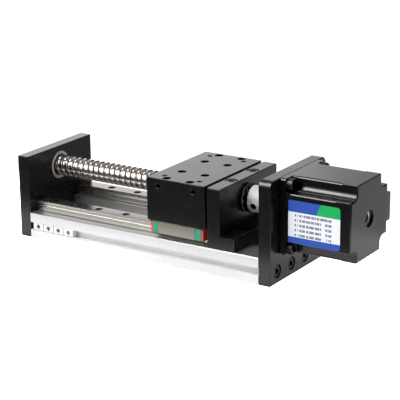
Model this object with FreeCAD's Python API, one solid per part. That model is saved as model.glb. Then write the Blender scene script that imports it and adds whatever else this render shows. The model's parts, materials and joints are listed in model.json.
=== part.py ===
import FreeCAD, Part
import math
import os
from FreeCAD import Vector

os.makedirs("parts", exist_ok=True)

# Ball screw linear module: a slide table on two profile rails, driven by a 16 mm ball screw
# that a 57 mm frame stepper motor turns through a jaw coupling.
# All sizes are in millimetres. X runs along the screw towards the motor, Z is up.
# The origin is the middle of the whole object, on the plane of the base's underside.

# Fits and gaps
fit_gap = 0.02
thread_gap = 0.05
screw_clearance = 0.25
slide_gap = 0.3
ball_gap = 0.1
rotor_gap = 0.3
hidden_gap = 0.2

# Base extrusion
base_length = 204.4
base_height = 20.0
side_margin = 1.0
channel_margin = 4.0
channel_depth = 6.0
core_hole_radius = 2.1
core_hole_height = 9.0
core_hole_inner = 10.0
core_hole_inset = 10.0
core_thread_depth = 22.0
duct_width = 11.0
duct_wall = 3.0
slot_opening = 6.0
slot_lip = 2.0
slot_inner_width = 11.0
slot_depth = 6.0
slot_bevel_share = 0.3
base_edge = 0.4
side_slot_height = 9.75
under_slot_inset = 20.0
under_slot_lip = 1.8
under_slot_depth = 5.0

# End plates
idle_plate_thickness = 10.0
idle_plate_roof = 4.5
motor_plate_thickness = 10.0
motor_plate_drop = 0.4
motor_plate_corner = 5.0
plate_edge = 0.5
plate_counterbore_radius = 5.0
plate_counterbore_depth = 5.5
plate_screw_length = 20.0
bearing_lip = 2.94

# Profile rails
rail_width = 12.0
rail_height = 8.0
rail_start = 0.4
rail_end_gap = 1.4
rail_first_hole = 5.0
rail_hole_pitch = 25.0
rail_hole_rounding = 1e-6
rail_counterbore_radius = 3.0
rail_counterbore_depth = 4.5
rail_screw_length = 10.0
rail_edge = 0.6

# Carriages
carriage_body_length = 31.6
carriage_cap_length = 5.2
carriage_seal_length = 1.7
carriage_underside = 3.0
carriage_top = 13.0
carriage_roof_gap = 0.7
carriage_edge = 0.8
cap_inset = 0.25
seal_inset = 0.6
seal_low_inset = 0.3
carriage_ball_radius = 1.2
carriage_ball_height = 5.0
carriage_ball_offset = 6.2
carriage_ball_count = 9
track_clearance = 0.15
carriage_side_gap = 0.5
carriage_hole_spacing = 20.0
carriage_hole_edge = 3.5
carriage_thread_depth = 3.6
carriage_thread_spare = 0.5

# Slide table
table_length = 50.0
table_floor = 2.5
table_roof = 3.0
table_home_gap = 1.8
table_edge = 0.5
table_counterbore_radius = 3.25
table_counterbore_depth = 3.4
top_hole_spacing_x = 30.0
top_hole_inset = 9.5
top_hole_depth = 12.0
side_hole_spacing = 30.0
side_hole_drop = 5.5
side_hole_depth = 7.0
tap_radius_m4 = 1.65
hole_rim = 0.45

# Ball screw
screw_radius = 8.0
screw_lead = 5.0
groove_radius = 1.65
groove_centre_radius = 8.25
idle_journal_radius = 4.0
idle_journal_stub = 1.4
idle_shoulder_gap = 0.8
idle_collar_radius = 5.5
fixed_journal_radius = 6.0
fixed_collar_radius = 7.2
fixed_collar_gap = 0.5
drive_stub_radius = 4.0
clip_thickness = 0.8
clip_groove_depth = 0.5
clip_reach = 1.8
clip_mouth = 2.8
end_chamfer = 0.5

# Ball nut
nut_radius = 13.0
nut_length = 42.0
nut_flange_thickness = 8.0
nut_flange_width = 44.0
nut_flange_height = 27.0
nut_flange_corner = 4.0
nut_bore_clearance = 0.25
nut_screw_spacing_y = 36.0
nut_screw_spacing_z = 14.0
nut_screw_length = 8.0
nut_counterbore_depth = 4.2
nut_thread_spare = 0.6
nut_side_wall = 2.5
table_passage_clearance = 1.0
wiper_outer_radius = 11.0
wiper_length = 2.5
return_hole_radius = 1.7
return_hole_offset = 10.6
return_length = 24.0
nut_ball_radius = 1.55
nut_ball_pitch = 3.12

# Bearings: bore radius, outer radius, width, number of balls
small_bearing = {"bore": 4.0, "outer": 11.0, "width": 7.0, "balls": 7}
thin_bearing = {"bore": 6.0, "outer": 10.5, "width": 5.0, "balls": 14}
fixed_bearing_count = 2
shield_thickness = 0.4
bearing_rim = 0.3
land_share = 0.17
ball_share = 0.27

# Fixed bearing block
block_motor_gap = 20.1
block_wall = 11.0
block_foot = 11.5
block_roof = 5.5
block_foot_height = 10.0
block_edge = 0.5
block_screw_spacing = 30.0
block_counterbore_radius = 4.6
block_counterbore_depth = 6.5
block_wall_screw_length = 50.0
block_foot_counterbore_depth = 5.4
block_foot_screw_length = 16.0
block_thread_depth = 1.5

# Lock nut and its spacer
spacer_length = 1.2
spacer_radius = 7.3
lock_nut_radius = 10.8
lock_nut_length = 2.6
lock_nut_slots = 12
lock_nut_slot_width = 2.4
lock_nut_slot_depth = 1.6

# Jaw coupling
coupling_radius = 10.0
coupling_hub_length = 10.5
coupling_middle = 9.0
coupling_start_gap = 0.2
jaw_count = 3
jaw_angle = 36.0
jaw_inner_radius = 5.5
jaw_end_gap = 0.3
spider_gap_angle = 0.5
spider_ring_radius = 4.4
spider_overlap = 0.5
set_screw_radius = 2.5
set_screw_length = 5.0
set_screw_socket = 2.5
set_screw_recess = 0.8
set_screw_angle = 198.0
set_screw_step = 90.0

# Stepper motor
motor_size = 56.4
motor_length = 56.0
motor_flange_thickness = 5.0
motor_flange_corner = 2.0
motor_bell_length = 4.0
motor_cap_length = 12.0
motor_cap_wall = 2.0
motor_cap_hole_radius = 6.25
motor_cap_edge = 0.8
motor_notch = 10.0
motor_notch_corner = 5.0
motor_pilot_radius = 19.05
motor_pilot_length = 1.6
motor_hole_inset = 4.63
motor_bolt_inset = 11.0
motor_bolt_engagement = 4.2
motor_mount_screw_length = 14.0
motor_mount_hole_gap = 0.1
motor_shaft_passage = 3.0
motor_shaft_radius = 4.0
motor_shaft_reach = 21.0
winding_bolt_gap = 2.3
winding_thickness = 4.5
stator_tooth_tip = 1.0
winding_count = 8
winding_angle = 24.0
winding_overhang = 2.6
rotor_end_gap = 3.0
rotor_magnet_length = 1.6
bearing_boss_radius = 13.5
wave_washer_thickness = 0.8
wave_washer_inner_radius = 8.6

# Motor connector and label
connector_length = 10.0
connector_depth = 7.0
connector_height = 21.0
connector_wall = 1.2
connector_floor = 2.0
connector_end_margin = 1.2
connector_pin_count = 6
connector_pin_size = 0.7
connector_pin_recess = 3.0
label_start = 2.4
label_end_margin = 8.0
label_top_margin = 4.4
label_low_margin = 0.8
label_thickness = 0.2

# Slot nuts in the near side slot
slot_nut_count = 4
slot_nut_pitch = 9.6
slot_nut_length = 9.2
slot_nut_first = 7.1
slot_nut_base_width = 10.0
slot_nut_base_height = 2.8
slot_nut_hole_radius = 1.65
slot_nut_lip_gap = 0.1
slot_nut_recess = 0.4

# Socket head cap screws: thread radius, head radius, head height, socket width
m3 = {"thread": 1.5, "head": 2.75, "height": 3.0, "socket": 2.5}
m4 = {"thread": 2.0, "head": 3.5, "height": 4.0, "socket": 3.0}
m5 = {"thread": 2.5, "head": 4.25, "height": 5.0, "socket": 4.0}
head_bevel_share = 0.1
tip_bevel_share = 0.2
socket_floor_share = 0.45

# Widths: the carriage screws pass on both sides of the nut, and the base is as wide as the carriages
rail_spacing = 2 * (nut_radius + nut_side_wall) + carriage_hole_spacing
carriage_width = carriage_hole_spacing + 2 * carriage_hole_edge
width = rail_spacing + carriage_width + 2 * side_margin
channel_width = rail_spacing - rail_width - 2 * channel_margin
core_hole_outer = width / 2 - core_hole_inset
top_hole_spacing_y = width - 2 * top_hole_inset
under_slot_spacing = width - 2 * under_slot_inset

# Stations along X, from the idle end's outer face
total_length = idle_plate_thickness + base_length + motor_plate_thickness + motor_length
idle_outer = -total_length / 2
base_start = idle_outer + idle_plate_thickness
base_end = base_start + base_length
motor_face = base_end + motor_plate_thickness
motor_end = motor_face + motor_length
flange_back = motor_face + motor_flange_thickness
stator_start = flange_back + motor_bell_length
cap_start = motor_end - motor_cap_length
block_end = base_end - block_motor_gap
block_wall_end = block_end - block_foot
block_face = block_wall_end - block_wall
table_end = block_face - table_home_gap
table_start = table_end - table_length
table_centre = (table_start + table_end) / 2
rail_length = block_face - rail_end_gap - base_start - rail_start
rail_hole_count = int((rail_length - 2 * rail_first_hole) / rail_hole_pitch + rail_hole_rounding) + 1
fixed_bearings_width = fixed_bearing_count * thin_bearing["width"]
fixed_bearings_start = block_wall_end - fixed_bearings_width
inner_ring_end = block_wall_end
lock_nut_start = inner_ring_end + spacer_length
lock_nut_end = lock_nut_start + lock_nut_length
coupling_start = lock_nut_end + coupling_start_gap
hub_end = coupling_start + coupling_hub_length
far_hub_start = hub_end + coupling_middle
coupling_end = far_hub_start + coupling_hub_length
thread_start = base_start + idle_shoulder_gap
thread_end = block_face - fixed_collar_gap
rear_bearing_end = motor_end - motor_cap_wall - wave_washer_thickness
rear_bearing_start = rear_bearing_end - small_bearing["width"]
front_bearing_start = motor_face - motor_pilot_length + motor_cap_wall
front_bearing_end = front_bearing_start + small_bearing["width"]

# Heights
rail_top = base_height + rail_height
channel_floor = base_height - channel_depth
carriage_low = base_height + carriage_underside
table_bottom = base_height + carriage_top
axis_height = table_bottom + table_floor + nut_flange_height / 2
table_top = axis_height + nut_flange_height / 2 + table_roof
table_height = table_top - table_bottom
idle_plate_height = axis_height + small_bearing["outer"] + idle_plate_roof
block_height = axis_height + thin_bearing["outer"] + block_roof
motor_plate_height = axis_height + motor_size / 2 - motor_plate_drop

# The motor's patterns, its windings and the stator's bore, from the outside inwards
motor_hole_spacing = motor_size - 2 * motor_hole_inset
motor_bolt_spacing = motor_size - 2 * motor_bolt_inset
motor_bolt_seat = motor_face + m3["height"] + hidden_gap
motor_bolt_length = cap_start + motor_bolt_engagement - motor_bolt_seat
winding_outer_radius = motor_bolt_spacing / math.sqrt(2) - winding_bolt_gap
winding_inner_radius = winding_outer_radius - winding_thickness
stator_bore = winding_inner_radius - stator_tooth_tip

# Rows across the width
rail_rows = [-rail_spacing / 2, rail_spacing / 2]
core_holes = [-core_hole_outer, -core_hole_inner, core_hole_inner, core_hole_outer]

X_AXIS = Vector(1, 0, 0)
Y_AXIS = Vector(0, 1, 0)
Z_AXIS = Vector(0, 0, 1)


# A box between two corners
def box(x0, x1, y0, y1, z0, z1):
    return Part.makeBox(x1 - x0, y1 - y0, z1 - z0, Vector(x0, y0, z0))


# A round bar along X, by default on the screw's axis
def rod_x(x0, x1, radius, y=0.0, z=axis_height):
    return Part.makeCylinder(radius, x1 - x0, Vector(x0, y, z), X_AXIS)


# A round bar along Z
def rod_z(x, y, z0, z1, radius):
    return Part.makeCylinder(radius, z1 - z0, Vector(x, y, z0), Z_AXIS)


# A round bar along Y
def rod_y(x, z, y0, y1, radius):
    return Part.makeCylinder(radius, y1 - y0, Vector(x, y0, z), Y_AXIS)


# A ring about the screw's axis
def ring_x(x0, x1, outer, inner):
    return rod_x(x0, x1, outer).cut(rod_x(x0 - 1, x1 + 1, inner))


# A straight extrusion along X of a closed outline given as (y, z) points
def prism_x(outline, x0, x1):
    points = [Vector(x0, y, z) for y, z in outline]
    face = Part.Face(Part.makePolygon(points + points[:1]))
    return face.extrude(Vector(x1 - x0, 0, 0))


# One shape cut by a list of shapes
def cut_all(shape, tools):
    return shape.cut(Part.makeCompound(tools)) if tools else shape


# One solid out of touching pieces
def fuse_all(shapes):
    return shapes[0].multiFuse(shapes[1:]).removeSplitter()


# The edges of a shape that a test on both end points accepts
def edges_where(shape, test):
    found = []
    for edge in shape.Edges:
        ends = [vertex.Point for vertex in edge.Vertexes]
        if len(ends) == 2 and all(test(point) for point in ends):
            found.append(edge)
    return found


# A small bevel on every straight outer edge of a block
def bevel_outer(shape, size):
    bound = shape.BoundBox

    def on_two_sides(point):
        sides = [abs(point.x - bound.XMin) < 1e-6 or abs(point.x - bound.XMax) < 1e-6]
        sides.append(abs(point.y - bound.YMin) < 1e-6 or abs(point.y - bound.YMax) < 1e-6)
        sides.append(abs(point.z - bound.ZMin) < 1e-6 or abs(point.z - bound.ZMax) < 1e-6)
        return sum(sides) >= 2

    return shape.makeChamfer(size, edges_where(shape, on_two_sides))


# A group of separate solids in one node
def group(shapes):
    return Part.makeCompound(shapes)


# Write one node's STEP file
def export(name, shape):
    shape.exportStep("parts/" + name + ".step")
    print(name, len(shape.Solids), "solids", round(shape.Volume, 1), "mm3")


# A tapered rim cut where a hole leaves a face that looks up
def rim_z(x, y, z, radius):
    return Part.makeCone(radius, radius + hole_rim, hole_rim, Vector(x, y, z - hole_rim), Z_AXIS)


# A hexagonal bar along Z, by its width across flats
def hex_bar(across, z0, z1):
    corner = across / math.sqrt(3)
    angles = [math.radians(60 * step) for step in range(6)]
    points = [Vector(corner * math.cos(a), corner * math.sin(a), z0) for a in angles]
    face = Part.Face(Part.makePolygon(points + points[:1]))
    return face.extrude(Vector(0, 0, z1 - z0))


# A socket head cap screw whose head rests on z = 0 and whose shank points down
def cap_screw(size, length):
    head = Part.makeCylinder(size["head"], size["height"])
    top = [edge for edge in head.Edges if abs(edge.CenterOfMass.z - size["height"]) < 1e-6]
    head = head.makeChamfer(head_bevel_share * size["height"], top)
    shank = Part.makeCylinder(size["thread"], length, Vector(0, 0, -length))
    tip = [edge for edge in shank.Edges if abs(edge.CenterOfMass.z + length) < 1e-6]
    shank = shank.makeChamfer(tip_bevel_share * size["thread"], tip)
    socket = hex_bar(size["socket"], socket_floor_share * size["height"], size["height"] + 1)
    return head.fuse(shank).cut(socket).removeSplitter()


# Put a shape made along Z at a seat, with its top looking along a direction
def placed(shape, seat, direction):
    copy = shape.copy()
    copy.Placement = FreeCAD.Placement(seat, FreeCAD.Rotation(Z_AXIS, direction))
    return copy


# Places of the four plate screws, given the x of their seats
def plate_screw_seats(x):
    return [Vector(x, y, core_hole_height) for y in core_holes]


# Base extrusion

# A T-slot opening upwards at y = 0, z = 0, as an outline for cutting
def slot_outline(lip, depth):
    half_mouth = slot_opening / 2
    half_room = slot_inner_width / 2
    bevel = (depth - lip) * slot_bevel_share
    return [(-half_mouth, 1.0), (-half_mouth, -lip), (-half_room, -lip), (-half_room, -depth + bevel),
            (-half_room + bevel, -depth), (half_room - bevel, -depth), (half_room, -depth + bevel),
            (half_room, -lip), (half_mouth, -lip), (half_mouth, 1.0)]


# The T-slots of the near side, the far side and the underside
def base_slots(x0, x1):
    side = slot_outline(slot_lip, slot_depth)
    under = slot_outline(under_slot_lip, under_slot_depth)
    near = [(-width / 2 - depth, side_slot_height + across) for across, depth in side]
    far = [(width / 2 + depth, side_slot_height + across) for across, depth in side]
    shapes = [prism_x(near, x0, x1), prism_x(far, x0, x1)]
    for y in (-under_slot_spacing / 2, under_slot_spacing / 2):
        shapes.append(prism_x([(y + across, -depth) for across, depth in under], x0, x1))
    return shapes


def base_profile():
    x0 = base_start - 1
    x1 = base_end + 1
    body = box(base_start, base_end, -width / 2, width / 2, 0, base_height)
    long_edges = edges_where(body, lambda p: p.z > base_height - 1e-6)
    body = body.makeChamfer(base_edge, [edge for edge in long_edges if edge.Length > base_length / 2])
    cuts = base_slots(x0, x1)
    cuts.append(box(x0, x1, -channel_width / 2, channel_width / 2, channel_floor, base_height + 1))
    cuts.append(box(x0, x1, -duct_width / 2, duct_width / 2, duct_wall, channel_floor - duct_wall))
    thread = m5["thread"] + thread_gap
    for y in core_holes:
        cuts.append(rod_x(x0, x1, core_hole_radius, y, core_hole_height))
        cuts.append(rod_x(x0, base_start + core_thread_depth, thread, y, core_hole_height))
        cuts.append(rod_x(base_end - core_thread_depth, x1, thread, y, core_hole_height))
    rail_thread = m3["thread"] + thread_gap
    rail_seat = rail_top - rail_counterbore_depth
    rail_thread_end = rail_seat - rail_screw_length - 1
    for y in rail_rows:
        for x in rail_hole_places():
            cuts.append(rod_z(x, y, rail_thread_end, base_height + 1, rail_thread))
    for x, y, tip, floor in block_screw_tips():
        cuts.append(rod_z(x, y, tip - block_thread_depth, floor + 1, m5["thread"] + thread_gap))
    return cut_all(body, cuts)


# The x of each hole along a rail
def rail_hole_places():
    first = base_start + rail_start + rail_first_hole
    return [first + rail_hole_pitch * step for step in range(rail_hole_count)]


# Where each block screw's tip ends and what face it enters: x, y, tip height, face height
def block_screw_tips():
    wall_tip = block_height - block_counterbore_depth - block_wall_screw_length
    foot_seat = base_height + block_foot_height - block_foot_counterbore_depth
    foot_tip = foot_seat - block_foot_screw_length
    found = []
    for y in (-block_screw_spacing / 2, block_screw_spacing / 2):
        found.append((block_face + block_wall / 2, y, wall_tip, base_height))
        found.append((block_wall_end + block_foot / 2, y, foot_tip, base_height))
    return found


# End plates

def idle_end_plate():
    plate = box(idle_outer, base_start, -width / 2, width / 2, 0, idle_plate_height)
    plate = bevel_outer(plate, plate_edge)
    bearing_start = base_start - small_bearing["width"]
    cuts = [rod_x(bearing_start, base_start + 1, small_bearing["outer"] + fit_gap)]
    cuts.append(rod_x(idle_outer - 1, base_start, small_bearing["outer"] - bearing_lip))
    seat = idle_outer + plate_counterbore_depth
    for y in core_holes:
        cuts.append(rod_x(idle_outer - 1, seat, plate_counterbore_radius, y, core_hole_height))
        hole = m5["thread"] + screw_clearance
        cuts.append(rod_x(idle_outer - 1, base_start + 1, hole, y, core_hole_height))
    return cut_all(plate, cuts)


def motor_plate():
    plate = box(base_end, motor_face, -width / 2, width / 2, 0, motor_plate_height)
    top = edges_where(plate, lambda p: p.z > motor_plate_height - 1e-6)
    corners = [e for e in top if abs(e.Length - motor_plate_thickness) < 1e-6]
    plate = plate.makeFillet(motor_plate_corner, corners)
    rims = [e for e in plate.Edges if abs(e.BoundBox.XLength) < 1e-6]
    plate = plate.makeChamfer(plate_edge, rims)
    cuts = [rod_x(base_end - 1, motor_face + 1, motor_pilot_radius + thread_gap)]
    seat = motor_face - plate_counterbore_depth
    for y in core_holes:
        cuts.append(rod_x(seat, motor_face + 1, plate_counterbore_radius, y, core_hole_height))
        hole = m5["thread"] + screw_clearance
        cuts.append(rod_x(base_end - 1, motor_face + 1, hole, y, core_hole_height))
    for y, z in motor_corners(motor_hole_spacing):
        cuts.append(rod_x(base_end - 1, motor_face + 1, m5["thread"] + thread_gap, y, z))
    return cut_all(plate, cuts)


# The four corners of a square pattern about the motor's axis
def motor_corners(spacing):
    half = spacing / 2
    return [(sy * half, axis_height + sz * half) for sy in (-1, 1) for sz in (-1, 1)]


def plate_screws(seat_x, direction):
    screw = cap_screw(m5, plate_screw_length)
    return group([placed(screw, seat, direction) for seat in plate_screw_seats(seat_x)])


# Fixed bearing block

def bearing_block():
    wall = box(block_face, block_wall_end, -width / 2, width / 2, base_height, block_height)
    foot_top = base_height + block_foot_height
    foot = box(block_wall_end - 1, block_end, -width / 2, width / 2, base_height, foot_top)
    tongue_half = channel_width / 2 - slide_gap
    tongue = box(block_face, block_end, -tongue_half, tongue_half, channel_floor, base_height + 1)
    body = bevel_outer(wall.fuse(foot).removeSplitter(), block_edge).fuse(tongue).removeSplitter()
    cuts = [rod_x(fixed_bearings_start, block_wall_end + 1, thin_bearing["outer"] + fit_gap)]
    cuts.append(rod_x(block_face - 1, block_wall_end, fixed_collar_radius + 5 * slide_gap))
    hole = m5["thread"] + screw_clearance
    wall_x = block_face + block_wall / 2
    foot_x = block_wall_end + block_foot / 2
    for y in (-block_screw_spacing / 2, block_screw_spacing / 2):
        wall_seat = block_height - block_counterbore_depth
        foot_seat = foot_top - block_foot_counterbore_depth
        cuts.append(rod_z(wall_x, y, channel_floor - 1, block_height + 1, hole))
        cuts.append(rod_z(wall_x, y, wall_seat, block_height + 1, block_counterbore_radius))
        cuts.append(rod_z(foot_x, y, channel_floor - 1, foot_top + 1, hole))
        cuts.append(rod_z(foot_x, y, foot_seat, foot_top + 1, block_counterbore_radius))
    return cut_all(body, cuts)


def bearing_block_screws(x, seat, length):
    screw = cap_screw(m5, length)
    rows = (-block_screw_spacing / 2, block_screw_spacing / 2)
    return group([placed(screw, Vector(x, y, seat), Z_AXIS) for y in rows])


# Bearings

# Radii inside a deep groove bearing: inner land, outer land, ball, ball circle
def bearing_radii(bearing):
    section = bearing["outer"] - bearing["bore"]
    middle = (bearing["outer"] + bearing["bore"]) / 2
    return middle - land_share * section, middle + land_share * section, ball_share * section, middle


# The groove that the balls run in, as a ring of round section
def ball_groove(bearing, x_middle):
    inner_land, outer_land, ball, circle = bearing_radii(bearing)
    return Part.makeTorus(circle, ball + ball_gap / 2, Vector(x_middle, 0, axis_height), X_AXIS)


def bearing_outer_ring(bearing, x0):
    x1 = x0 + bearing["width"]
    inner_land, outer_land, ball, circle = bearing_radii(bearing)
    ring = ring_x(x0, x1, bearing["outer"], outer_land)
    return ring.cut(ball_groove(bearing, (x0 + x1) / 2))


def bearing_inner_ring(bearing, x0):
    x1 = x0 + bearing["width"]
    inner_land, outer_land, ball, circle = bearing_radii(bearing)
    ring = ring_x(x0, x1, inner_land, bearing["bore"] + fit_gap)
    return ring.cut(ball_groove(bearing, (x0 + x1) / 2))


def bearing_balls(bearing, x0):
    inner_land, outer_land, ball, circle = bearing_radii(bearing)
    x = x0 + bearing["width"] / 2
    balls = []
    for step in range(bearing["balls"]):
        angle = 2 * math.pi * step / bearing["balls"]
        centre = Vector(x, circle * math.cos(angle), axis_height + circle * math.sin(angle))
        balls.append(Part.makeSphere(ball, centre))
    return balls


# Two thin shields held in the outer ring, one near each face
def bearing_shields(bearing, x0):
    inner_land, outer_land, ball, circle = bearing_radii(bearing)
    shields = []
    for x in (x0 + bearing_rim, x0 + bearing["width"] - bearing_rim - shield_thickness):
        shields.append(ring_x(x, x + shield_thickness, outer_land - fit_gap, inner_land + ball_gap))
    return shields


# Ball screw

# The turned shape is drawn as radius against x and spun about the axis
def ball_screw():
    journal_start = base_start - small_bearing["width"] - idle_journal_stub
    outline = [(journal_start, 0.0), (journal_start, idle_journal_radius - end_chamfer)]
    outline.append((journal_start + end_chamfer, idle_journal_radius))
    outline += [(base_start, idle_journal_radius), (base_start, idle_collar_radius)]
    outline += [(thread_start, idle_collar_radius), (thread_start, screw_radius - end_chamfer)]
    outline.append((thread_start + end_chamfer, screw_radius))
    outline.append((thread_end - end_chamfer, screw_radius))
    outline += [(thread_end, screw_radius - end_chamfer), (thread_end, fixed_collar_radius)]
    outline.append((fixed_bearings_start, fixed_collar_radius))
    outline.append((fixed_bearings_start, fixed_journal_radius))
    outline += [(lock_nut_end, fixed_journal_radius), (lock_nut_end, drive_stub_radius)]
    outline.append((hub_end - end_chamfer, drive_stub_radius))
    outline += [(hub_end, drive_stub_radius - end_chamfer), (hub_end, 0.0)]
    points = [Vector(x, 0, axis_height + radius) for x, radius in outline]
    face = Part.Face(Part.makePolygon(points + points[:1]))
    body = face.revolve(Vector(0, 0, axis_height), X_AXIS, 360)
    return cut_all(body, screw_grooves() + [clip_groove()])


# The ball track, drawn as one round groove for each turn of the thread
def screw_grooves():
    margin = screw_lead / 2
    turns = int((thread_end - thread_start - 2 * margin) / screw_lead)
    grooves = []
    for step in range(turns + 1):
        centre = Vector(thread_start + margin + screw_lead * step, 0, axis_height)
        grooves.append(Part.makeTorus(groove_centre_radius, groove_radius, centre, X_AXIS))
    return grooves


# Retaining clip behind the idle bearing, and the groove that holds it
def clip_station():
    return base_start - small_bearing["width"] - clip_thickness


def clip_groove():
    x0 = clip_station() - fit_gap
    x1 = clip_station() + clip_thickness
    return ring_x(x0, x1, idle_journal_radius + 1, idle_journal_radius - clip_groove_depth)


def screw_end_clip():
    x0 = clip_station()
    x1 = x0 + clip_thickness - fit_gap
    inner = idle_journal_radius - clip_groove_depth + thread_gap
    ring = ring_x(x0, x1, idle_journal_radius + clip_reach, inner)
    half = clip_mouth / 2
    mouth = box(x0 - 1, x1 + 1, -half, half, axis_height, axis_height + 2 * idle_journal_radius)
    return ring.cut(mouth)


# Lock nut and spacer

def clamp_spacer():
    return ring_x(inner_ring_end, lock_nut_start, spacer_radius, fixed_journal_radius + fit_gap)


def lock_nut():
    nut = ring_x(lock_nut_start, lock_nut_end, lock_nut_radius, fixed_journal_radius + fit_gap)
    slots = []
    for step in range(lock_nut_slots):
        floor = lock_nut_radius - lock_nut_slot_depth
        half = lock_nut_slot_width / 2
        slot = box(lock_nut_start - 1, lock_nut_end + 1, -half, half, floor, lock_nut_radius + 1)
        slot.rotate(Vector(0, 0, 0), X_AXIS, 360.0 * step / lock_nut_slots)
        slot.translate(Vector(0, 0, axis_height))
        slots.append(slot)
    return cut_all(nut, slots)


# Jaw coupling

# A slice of a ring about the axis, from one angle to another, measured from +Y towards +Z
def sector(x0, x1, inner, outer, start, sweep):
    pieces = []
    for radius in (outer, inner):
        pieces.append(Part.makeCylinder(radius, x1 - x0, Vector(0, 0, 0), Z_AXIS, sweep))
    piece = pieces[0].cut(pieces[1])
    # Local X, Y and Z become Y, Z and X
    turn = FreeCAD.Rotation(Vector(1, 1, 1), 120)
    piece.rotate(Vector(0, 0, 0), Z_AXIS, start)
    piece.Placement = FreeCAD.Placement(Vector(x0, 0, axis_height), turn).multiply(piece.Placement)
    return piece


def coupling_hub(x0, x1, jaw_x0, jaw_x1, first_angle, bore):
    hub = ring_x(x0, x1, coupling_radius, bore + fit_gap)
    end_x = x0 if jaw_x0 > x0 else x1
    rim = [e for e in hub.Edges if e.BoundBox.XLength < 1e-6 and abs(e.BoundBox.XMin - end_x) < 1e-6]
    rim = [e for e in rim if e.BoundBox.YLength > 2 * coupling_radius - 1e-3]
    hub = hub.makeChamfer(end_chamfer, rim)
    pieces = [hub]
    for step in range(jaw_count):
        angle = first_angle + 360.0 / jaw_count * step - jaw_angle / 2
        pieces.append(sector(jaw_x0, jaw_x1, jaw_inner_radius, coupling_radius, angle, jaw_angle))
    hub = fuse_all(pieces)
    middle = (x0 + x1) / 2
    return cut_all(hub, [radial_rod(middle, angle, 0, coupling_radius + 1, set_screw_radius + thread_gap)
                         for angle in set_screw_angles()])


def set_screw_angles():
    return [set_screw_angle, set_screw_angle + set_screw_step]


# A round bar that points away from the axis
def radial_rod(x, angle, start, end, radius):
    turned = math.radians(angle)
    out = Vector(0, math.cos(turned), math.sin(turned))
    return Part.makeCylinder(radius, end - start, Vector(x, 0, axis_height) + out * start, out)


def coupling_set_screws():
    screws = []
    for middle in (coupling_start + coupling_hub_length / 2, far_hub_start + coupling_hub_length / 2):
        for angle in set_screw_angles():
            screws.append(set_screw(middle, angle))
    return group(screws)


def set_screw(x, angle):
    top = coupling_radius - set_screw_recess
    length = min(set_screw_length, top - drive_stub_radius - fit_gap)
    body = Part.makeCylinder(set_screw_radius, length)
    body = body.cut(hex_bar(set_screw_socket, length / 2, length + 1))
    turned = math.radians(angle)
    out = Vector(0, math.cos(turned), math.sin(turned))
    return placed(body, Vector(x, 0, axis_height) + out * (top - length), out)


def coupling_spider():
    x0 = hub_end + fit_gap
    x1 = far_hub_start - fit_gap
    outer_ring = jaw_inner_radius - spider_gap_angle / 2
    pieces = [ring_x(x0, x1, outer_ring, spider_ring_radius)]
    slots = 2 * jaw_count
    sweep = 360.0 / slots - jaw_angle - spider_gap_angle
    for step in range(slots):
        start = 360.0 / slots * (step + 0.5) - sweep / 2
        inner = spider_ring_radius + spider_overlap
        pieces.append(sector(x0, x1, inner, coupling_radius - slide_gap, start, sweep))
    return fuse_all(pieces)


# Stepper motor

# The motor's square outline with a rounded notch at each corner, as a face at x
def notched_square(x, size):
    half = size / 2
    wall = half - motor_notch
    bend = motor_notch_corner
    mid = bend * (1 - math.sqrt(0.5))
    edges = []
    last = None
    first = None
    for quarter in range(4):
        corner = [(half, wall), (wall + bend, wall), (wall + mid, wall + mid)]
        corner += [(wall, wall + bend), (wall, half)]
        turned = math.radians(90 * quarter)
        cos, sin = round(math.cos(turned)), round(math.sin(turned))
        spots = [Vector(x, y * cos - z * sin, axis_height + y * sin + z * cos) for y, z in corner]
        if last:
            edges.append(Part.LineSegment(last, spots[0]).toShape())
        edges.append(Part.LineSegment(spots[0], spots[1]).toShape())
        edges.append(Part.Arc(spots[1], spots[2], spots[3]).toShape())
        edges.append(Part.LineSegment(spots[3], spots[4]).toShape())
        first = first or spots[0]
        last = spots[4]
    edges.append(Part.LineSegment(last, first).toShape())
    return Part.Face(Part.Wire(edges))


def notched_block(x0, x1, size):
    return notched_square(x0, size).extrude(Vector(x1 - x0, 0, 0))


def motor_front_flange():
    half = motor_size / 2
    flange = box(motor_face, flange_back, -half, half, axis_height - half, axis_height + half)
    posts = [e for e in flange.Edges if e.BoundBox.XLength > motor_flange_thickness / 2]
    flange = flange.makeFillet(motor_flange_corner, posts)
    pilot = rod_x(motor_face - motor_pilot_length, motor_face + 1, motor_pilot_radius)
    bell = notched_block(flange_back - 1, stator_start, motor_size)
    bell_room = winding_outer_radius + slide_gap
    bell = bell.cut(rod_x(flange_back, stator_start + 1, bell_room))
    boss = rod_x(flange_back - 1, front_bearing_end, bearing_boss_radius)
    body = fuse_all([flange, pilot, bell, boss])
    cuts = [rod_x(front_bearing_start, front_bearing_end + 1, small_bearing["outer"] + fit_gap)]
    passage = motor_shaft_radius + motor_shaft_passage
    cuts.append(rod_x(motor_face - motor_pilot_length - 1, front_bearing_end, passage))
    for y, z in motor_corners(motor_hole_spacing):
        cuts.append(rod_x(motor_face - 1, stator_start + 1, m5["thread"] + motor_mount_hole_gap, y, z))
    for y, z in motor_corners(motor_bolt_spacing):
        cuts.append(rod_x(motor_face - 1, motor_bolt_seat, m3["head"] + screw_clearance, y, z))
        cuts.append(rod_x(motor_face - 1, stator_start + 1, m3["thread"] + hidden_gap, y, z))
    return cut_all(body, cuts)


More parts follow.
